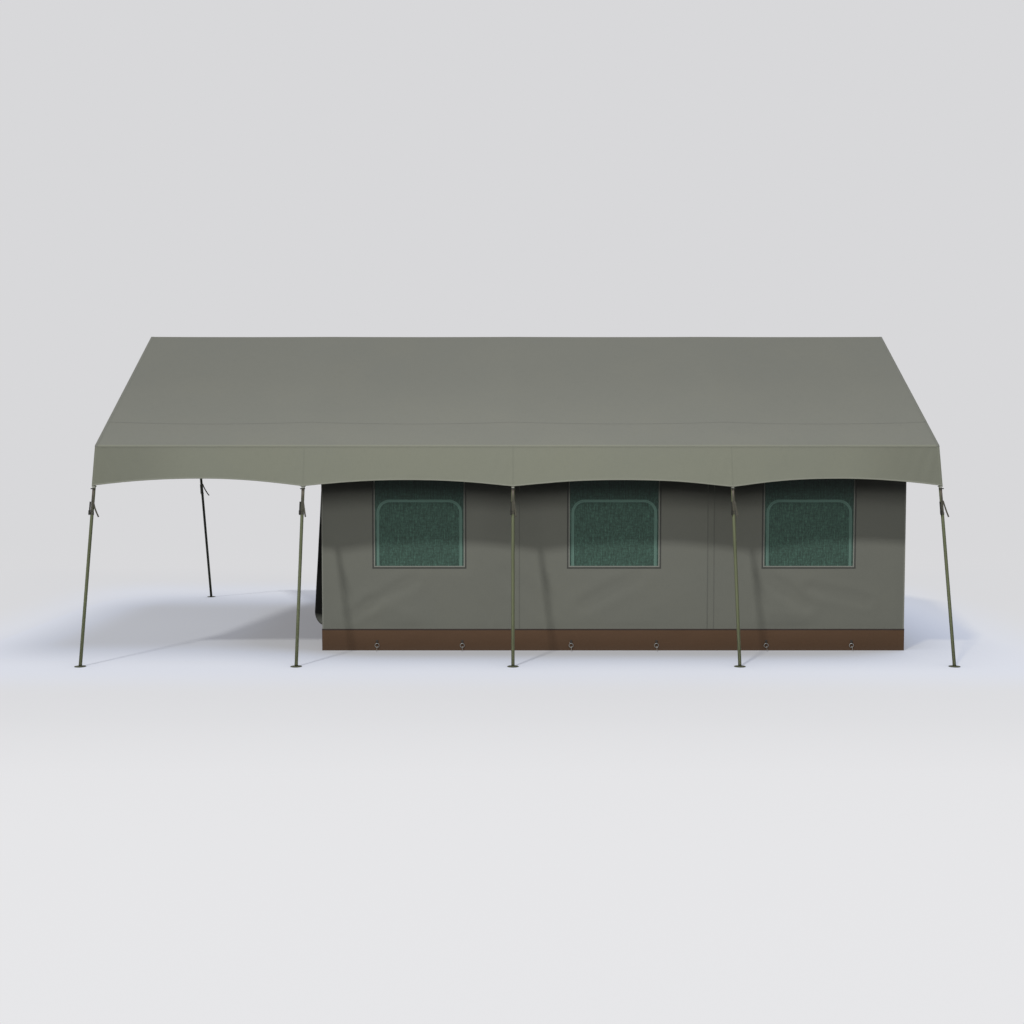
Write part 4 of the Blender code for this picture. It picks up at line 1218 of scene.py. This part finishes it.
GABLE_TOP = ceiling(0) - ROOF_GAP


def gable_height(y, row):
    """Height of a row of the panel at y, the rows above the eave line closing up to the slope."""
    share = max(0.0, (row - EAVE_LINE) / (GABLE_TOP - EAVE_LINE))
    return min(row, EAVE_LINE) + share * (ceiling(y) - ROOF_GAP - EAVE_LINE)


def gable(x, way, foot, hole=None, slack=0.003):
    """Panel across the tent at x, facing along x if way is 1 and against it if way is -1."""
    half, low, high = hole or (0.0, foot, foot)
    columns = ruled(sorted({-GABLE_HALF, -half, half, GABLE_HALF}), 0.06)
    rows = ruled(sorted({foot, low, high, EAVE_LINE, GABLE_TOP}), 0.06)

    def place(y, row):
        z = gable_height(y, row)
        beyond = max(abs(y) - half, z - high, low - z) - FLAT_ROUND_DOORWAY if hole else 1.0
        out = slack * (1 + ripple(y, z, 0.6, x)) * ease(beyond, 0.02, 0.15)
        out *= ease(z, foot + 0.055, foot + 0.15)
        out *= ease(GABLE_HALF - abs(y), 0.0, 0.15) * ease(ceiling(y) - z, 0.0, 0.15)
        return x + way * out, y, z

    panel = cloth(columns[::way], rows, place, WALL_THICK, cut=lambda y, row: (y, gable_height(y, row)),
                  dropped=(lambda y, row: abs(y) < half and low < row < high) if hole else None)
    return panel, place


def cross_tape(x, way, edges, profile):
    """Mitred tape on a panel across the tent, edges being its half width, foot and head."""
    tape = edging(square_path(*edges), profile, 0.0)
    tape.data.transform(Matrix(((0, -way, 0, x), (way, 0, 0, 0), (0, 0, 1, 0), (0, 0, 0, 1))))
    return tape


def hang_gable(panel, name, trim, trim_word, trim_material):
    """Dress a panel and the trim sewn on it."""
    keep(panel, name + "_canvas", gable_canvas, stands_for=[name])
    keep(trim, name + trim_word, trim_material)


door_binding = sewn("doorway_binding", (0.085, 0.088, 0.074), (0.004, 0.016), (0.045, 0.045, 0.038))
gable_canvas = canvas("gable_canvas_weave", (0.180, 0.184, 0.157), thread=0.0014, unevenness=0.04)
entry = gable(WALL_X[0], -1, WALL_Z[0], DOORWAY)[0]
entry_tape = cross_tape(WALL_X[0], -1, DOORWAY, DOORWAY_EDGE)
hang_gable(entry, "wall_veranda_end", entry_tape, "_binding", door_binding)

far_end, far_face = gable(WALL_X[1], 1, WALL_Z[0])
upright_seam = band(
    steps(0.30, ceiling(0) - 0.02, 60), sewn_on(0.016, -0.008), lambda z, back: far_face(-back, z))
hang_gable(far_end, "wall_far_end", upright_seam, "_seam", wall_seam)

for k, x in enumerate(PARTITION_X, 1):
    name = "partition_" + str(k)
    panel = gable(x + 0.001, 1, PARTITION_FOOT, PARTITION_DOOR, 0.002)[0]
    tape = cross_tape(x + 0.001, 1, PARTITION_DOOR, DOORWAY_EDGE)
    hang_gable(panel, name, tape, "_binding", door_binding)
    door_x = x - DOOR_BEHIND
    door = cloth(steps(DOOR_HALF, -DOOR_HALF, 20), ruled(DOOR_Z, 0.06), lambda y, z: (door_x, y, z), WALL_THICK)
    hem = cross_tape(door_x, -1, (DOOR_HALF - 0.003, DOOR_Z[0] + 0.003, DOOR_Z[1] - 0.003), DOOR_FOLD)
    body = "partition_door_" + str(k)
    keep(door, body + "_canvas", flap_canvas, body, [body])
    keep(hem, body + "_binding", door_binding, body)


# Veranda doors: two slack leaves of canvas, each sewn to the end wall near a corner. Each bellies
# out towards the veranda, most of all low down by its sewn edge, and is painted near-black as shade
# above a paler strip by its foot. It has a zip on its free edge and a turned hem along its foot and head.
LEAF_WIDTH, LEAF_HEIGHT = 1.9585, 1.882
LEAF_FACE = -2.3832
LEAF_HINGE, LEAF_FOOT = -1.960, 0.268
BELLY_OUT, BELLY_UP = 0.138, 0.17
LESS_AT_HEAD, LESS_AT_ZIP = 0.80, 0.65
LEAF_GAP, LEAF_FOLD, SMALL_LEAF_FOLD = 0.002, 0.004, 0.0015
HEM_FOLD = ((0.0002, 0.0), (0.0006, 0.0011), (0.0200, 0.0011), (0.0204, 0.0))
FREE_TAPE = ((0.0234, 0.0), (0.0230, 0.0011), (0.0006, 0.0011), (0.0004, 0.0))
FREE_COIL = ((0.0046, 0.0011), (0.0044, 0.0026), (0.0012, 0.0026), (0.0010, 0.0011))


def belly(from_hinge, above_foot):
    """How far a door leaf stands out from its closed plane."""
    drop = 1 - LESS_AT_HEAD * (above_foot - BELLY_UP) / (LEAF_HEIGHT - BELLY_UP)
    if above_foot < BELLY_UP:
        drop = math.sqrt(max(0.0, 1 - (1 - above_foot / BELLY_UP) ** 2))
    fade = 1 - LESS_AT_ZIP * from_hinge / LEAF_WIDTH
    return BELLY_OUT * ease(from_hinge, 0.0, 0.15) * fade * drop * ease(LEAF_HEIGHT - above_foot, 0.0, 0.10)


def leaf_surface(from_hinge, above_foot):
    """Outside of the front leaf, hanging from its sewn edge."""
    folds = LEAF_FOLD * (1 + ripple(from_hinge, above_foot, 0.24, 3.0))
    folds += SMALL_LEAF_FOLD * ripple(from_hinge, above_foot, 0.08, 5.0)
    folds *= ease(from_hinge, 0.05, 0.3) * ease(above_foot, 0.02, 0.2)
    folds *= ease(LEAF_HEIGHT - above_foot, 0.0, 0.2)
    out = LEAF_GAP + belly(from_hinge, above_foot) + max(0.0, folds)
    return LEAF_FACE - out, LEAF_HINGE + from_hinge, LEAF_FOOT + above_foot


def along_leaf(back, up):
    """The front leaf's outside with its width counted backward."""
    return leaf_surface(-back, up)


def up_leaf(up, width):
    """The front leaf's outside with its height first."""
    return leaf_surface(width, up)


def inward(edge, profile):
    """Profile measured back from an edge of the leaf."""
    return [(edge - place, lift) for place, lift in profile]


leaf_columns = [LEAF_WIDTH * share ** 1.5 for share in steps(1, 0, 70)]
leaf_rows = [LEAF_HEIGHT * share ** 1.7 for share in steps(0, 1, 60)]
leaf = cloth(leaf_columns, leaf_rows, leaf_surface, WALL_THICK)
back_columns = [-width for width in leaf_columns[1:-1]]
foot_hem = band(back_columns, HEM_FOLD, along_leaf)
head_hem = band(back_columns, inward(LEAF_HEIGHT, HEM_FOLD[::-1]), along_leaf)
free_tape = band(leaf_rows[1:-1], inward(LEAF_WIDTH, FREE_TAPE), up_leaf)
free_coil = band(leaf_rows[1:-1], inward(LEAF_WIDTH, FREE_COIL), up_leaf)
leaf_trims = join([foot_hem, head_hem, free_tape])
leaf_canvas_painted_shade = canvas("leaf_canvas_weave", (0.172, 0.176, 0.150), thread=0.0014, specular=0.08, sheen=0.0)
# Painted shade: the leaf's canvas is near-black above a strip by its foot.
paint_shade_along(leaf_canvas_painted_shade, "Z", 0.33, 0.43, 1.0, 0.03)
leaf_hem = sewn("leaf_hem_canvas", (0.150, 0.154, 0.130), (0.004, 0.014))
for side in SIDES:
    body = "veranda_door_" + side
    sheet = keep(twin(leaf, side), body + "_canvas", leaf_canvas_painted_shade, body, [body])
    hems = keep(twin(leaf_trims, side), body + "_hems", leaf_hem, body)
    teeth = keep(twin(free_coil, side), body + "_coil", coil, body)
remove(leaf, leaf_trims, free_coil)


# Inner roof: pale unproofed canvas laid from eave to eave over the room walls, sagging a little in
# every room. It hangs from the ridge rail on four webbing loops with short tapes sewn along its
# ridge, and a lapped seam runs down the ridge.
LOOP_X = (-2.3301, 0.025, 2.610, 4.685)
RIDGE_LOOP_RADIUS, RIDGE_LOOP_HALF = 0.0214, 0.015
SHORT_TAPE_HALF, SHORT_TAPE_Z = 0.0147, (3.8640, 3.9335)
SAG_AT_TOP, SAG_IN_PANEL = 0.006, 0.016
INNER_HALF = HALF_WIDTH / math.cos(SLOPE)


def inner_roof_surface(x, s):
    """Top of the inner roof, s being metres of cloth from its ridge."""
    y = s * math.cos(SLOPE)
    room = min(2, sum(x > edge for edge in PARTITION_X))
    in_room = hump(between(x, ROOM_EDGES[room], ROOM_EDGES[room + 1]))
    share = min(1.0, abs(y) / HALF_WIDTH)
    in_panel = SAG_IN_PANEL * hump(share) * (1 + 0.3 * ripple(x, y, 0.7, 5.0))
    sag = in_room * (SAG_AT_TOP * (1 - share) + in_panel)
    return x, y, ceiling(y) + 0.0023 - sag


def ridge_loop(x):
    """Webbing round the ridge rail with its short tape down to the inner roof."""
    def round_rail(turn, w):
        turn = math.radians(turn)
        return x + w, RIDGE_LOOP_RADIUS * math.sin(turn), RIDGE.y + RIDGE_LOOP_RADIUS * math.cos(turn)

    return [
        cloth(steps(0, 360, 32), (RIDGE_LOOP_HALF, 0.0, -RIDGE_LOOP_HALF), round_rail, 0.0019,
              cut=lambda turn, w: (0.3 + turn * 0.00037, w)),
        cloth(steps(-SHORT_TAPE_HALF, SHORT_TAPE_HALF, 6), steps(*SHORT_TAPE_Z, 6),
              lambda w, z: (x + w, -0.001, z), 0.002, cut=lambda w, z: (z - 3.56, w))]


inner_canvas = canvas("inner_roof_weave", (0.210, 0.212, 0.188), thread=0.0012)
inner_columns = steps(*WALL_X, 120)
inner_roof = cloth(inner_columns, ruled((-INNER_HALF, 0.0, INNER_HALF), 0.06), inner_roof_surface, WALL_THICK)
keep(inner_roof, "inner_roof_canvas", inner_canvas, stands_for=["inner_roof"])
ridge_seam = band(inner_columns, sewn_on(0.020, -0.010, 0.0010), inner_roof_surface)
keep(ridge_seam, "inner_roof_seam", wall_seam)
inner_loops = join([piece for x in LOOP_X for piece in ridge_loop(x)])
keep(inner_loops, "inner_roof_loops", tan_webbing)


# Ground and light: a plain pale floor that runs into a pale backdrop of the same colour, a sun-like
# lamp from the front left, a soft box low in front and a weaker one behind, and even light round.
# The floor keeps the tent's shadow and its cool rim close to the tent, partly cast by the lamps and
# partly painted, and is plain further out.
BACKDROP = (0.6867, 0.6867, 0.7011)
AMBIENT = (0.250, 0.255, 0.268)
SUN_WAY = Vector((0.345, 0.53, -0.80))
SUN_SHARE, SUN_SPREAD = 0.569, 4.5
SKY_SHARE = 0.255
VERANDA_TINT = (0.42, 0.42, 0.41)
FAR_TINT = (0.26, 0.225, 0.15)
GROUND_TONES = (
    (-34.0, 0.6867), (-16.0, 0.800), (-14.0, 0.800), (-9.5, 0.791), (-8.0, 0.783),
    (-5.9, 0.745), (-2.7, 0.720), (2.9, 0.694), (15.0, 0.6867))
BOX_LIGHT = (
    (-8.0, 0.43), (-6.0, 0.35), (-4.0, 0.24), (-2.0, 0.175),
    (0.0, 0.141), (3.0, 0.150), (6.0, 0.216), (8.0, 0.256))
ROOF_SHADOW_PATCH = ((-7.0, -5.4), (4.9, 3.5), (-3.3, -1.4), (4.2, 1.6))
COOL_RIM_PATCH = ((-8.0, -6.2), (7.6, 5.6), (-4.9, -3.4), (6.0, 3.6))
BOX_SIZE, BOX_OUT, BOX_UP, BOX_TILT = (9.57, 3.59), 10.42, 5.37, 0.328
BOX_STRENGTHS = {-1: 2.85, 1: 1.6}
EYE, EYE_DOWN, LENS = (-0.061, -17.916, 2.616), 3.32, 45.70


def seen_by_eye(tree):
    """1 for the camera and for mirror-like or see-through surfaces, 0 for light itself."""
    paths = add_node("LightPath", tree=tree).outputs
    eye = plus(plus(paths["Is Camera Ray"], paths["Is Glossy Ray"]), paths["Is Transmission Ray"])
    return calc("MINIMUM", eye, 1.0)


def level_along(place, levels):
    """Grey level that follows a list of (place, level)."""
    low, high = levels[0][0], levels[-1][0]
    tones = add_node("ValToRGB", {"Fac": ramp(place, low, high)})
    points = tones.color_ramp.elements
    while len(points) < len(levels):
        points.new(0.5)
    for point, (at, level) in zip(points, levels):
        point.position = (at - low) / (high - low)
        point.color = (level, level, level, 1.0)
    return tones.outputs["Color"]


def soft_rectangle(x, y, edges):
    """1 in the middle of a part of the floor and 0 outside it, between a start and an end per side."""
    share = 1.0
    for way, (start, end) in zip((x, x, y, y), edges):
        share = times(share, ramp(way, start, end, kind="SMOOTHSTEP"))
    return share


def ground_material():
    """Pale to the eye and dark to the light. The eye sees the floor's own tone, less what the tent
    keeps from it: the lamps' share is held back and the floor lights it again, so the shadow falls
    by itself. Close to the tent a painted shadow dims it as well, from the walls' occlusion and a soft
    patch under the roof, and a painted cool rim tints it."""
    material, tree, shader = new_material("ground")
    tree.nodes.remove(shader)
    x, y = xyz(object_place(tree))[:2]
    x_off, y_off = calc("ABSOLUTE", x), calc("ABSOLUTE", y)
    tone = filtered(level_along(y, GROUND_TONES), (1.0, 1.0, 1.021))
    tone = mix(ramp(x_off, 11.0, 26.0), tone, BACKDROP)
    far = calc("MAXIMUM", ramp(x_off, 6.5, 10.0), ramp(y_off, 5.0, 8.0))
    near = calc("SUBTRACT", 1.0, far)
    spread = calc("POWER", calc("DIVIDE", x, 8.0), 2.0)
    boxes = times(level_along(y, BOX_LIGHT), calc("DIVIDE", 1.0, plus(1.0, spread)))
    lit_share = times(plus(boxes, SKY_SHARE - SUN_SHARE * SUN_WAY.z), near)
    tint = mix(ramp(x, 2.0, 5.0), VERANDA_TINT, FAR_TINT)
    glow = mix(1.0, tone, filtered(tint, lit_share), "SUBTRACT")

    # Painted shadow: occlusion by the walls and a soft patch under the roof dim the floor, and a painted cool
    # rim tints it.
    painted_wall_occlusion = add_node("AmbientOcclusion", {"Distance": 1.5}, tree, samples=16)
    painted_roof_shadow = ramp(soft_rectangle(x, y, ROOF_SHADOW_PATCH), 0.0, 1.0, 1.0, 0.685)
    open_share = times(calc("POWER", painted_wall_occlusion.outputs["AO"], 0.7), painted_roof_shadow)
    open_share = calc("MAXIMUM", open_share, 0.61)
    painted_cool_patch = times(soft_rectangle(x, y, COOL_RIM_PATCH), 0.11)
    rim = calc("MAXIMUM", ramp(open_share, 1.0, 0.95, 0.0, 0.13), painted_cool_patch)
    rim = times(rim, ramp(open_share, 0.60, 0.78))
    cool = add_node("CombineXYZ", {
        "X": open_share, "Y": plus(open_share, times(rim, 0.25)),
        "Z": plus(open_share, times(rim, 0.85))}).outputs[0]

    shine = add_node("Emission", {"Color": filtered(glow, cool)})
    tinted = filtered(mix(near, (0, 0, 0), tint), cool)
    lit = add_node("BsdfDiffuse", {"Color": tinted})
    both = add_node("AddShader", {0: shine.outputs[0], 1: lit.outputs[0]})
    dark = add_node("BsdfDiffuse", {"Color": (0.06, 0.06, 0.058, 1.0)}, tree)
    shown = add_node("MixShader", {0: seen_by_eye(tree), 1: dark.outputs[0], 2: both.outputs[0]})
    tree.links.new(shown.outputs[0], tree.nodes["Material Output"].inputs["Surface"])
    return material


def aimed(way):
    """Turn of a lamp that shines that way."""
    return (-way).to_track_quat("Z", "Y").to_euler()


select()
bpy.ops.mesh.primitive_plane_add(size=160, location=(0, 0, -0.0005))
ground = settle(bpy.context.object)
ground.name = "ground"
ground.data.materials.append(ground_material())

world = bpy.data.worlds.new("pale_backdrop")
scene.world = world
world.use_nodes = True
sky = world.node_tree
backdrop = mix(seen_by_eye(sky), AMBIENT, BACKDROP)
sky.links.new(backdrop, sky.nodes["Background"].inputs["Color"])

bpy.ops.object.light_add(type="SUN", location=(-6, -10, 14), rotation=aimed(SUN_WAY))
sun = bpy.context.object
sun.data.energy = SUN_SHARE * math.pi
sun.data.angle = math.radians(SUN_SPREAD)

for way, strength in BOX_STRENGTHS.items():
    aim = Vector((0, -way * math.cos(BOX_TILT), -math.sin(BOX_TILT)))
    bpy.ops.object.light_add(type="AREA", location=(0, way * BOX_OUT, BOX_UP), rotation=aimed(aim))
    box = bpy.context.object
    box.data.shape = "RECTANGLE"
    box.data.size, box.data.size_y = BOX_SIZE
    box.data.energy = strength * math.pi * BOX_SIZE[0] * BOX_SIZE[1]

bpy.ops.object.camera_add(location=EYE, rotation=(math.radians(90 - EYE_DOWN), 0, 0))
camera = bpy.context.object
camera.data.lens = LENS
camera.data.sensor_width = 36
camera.data.clip_end = 400
scene.camera = camera
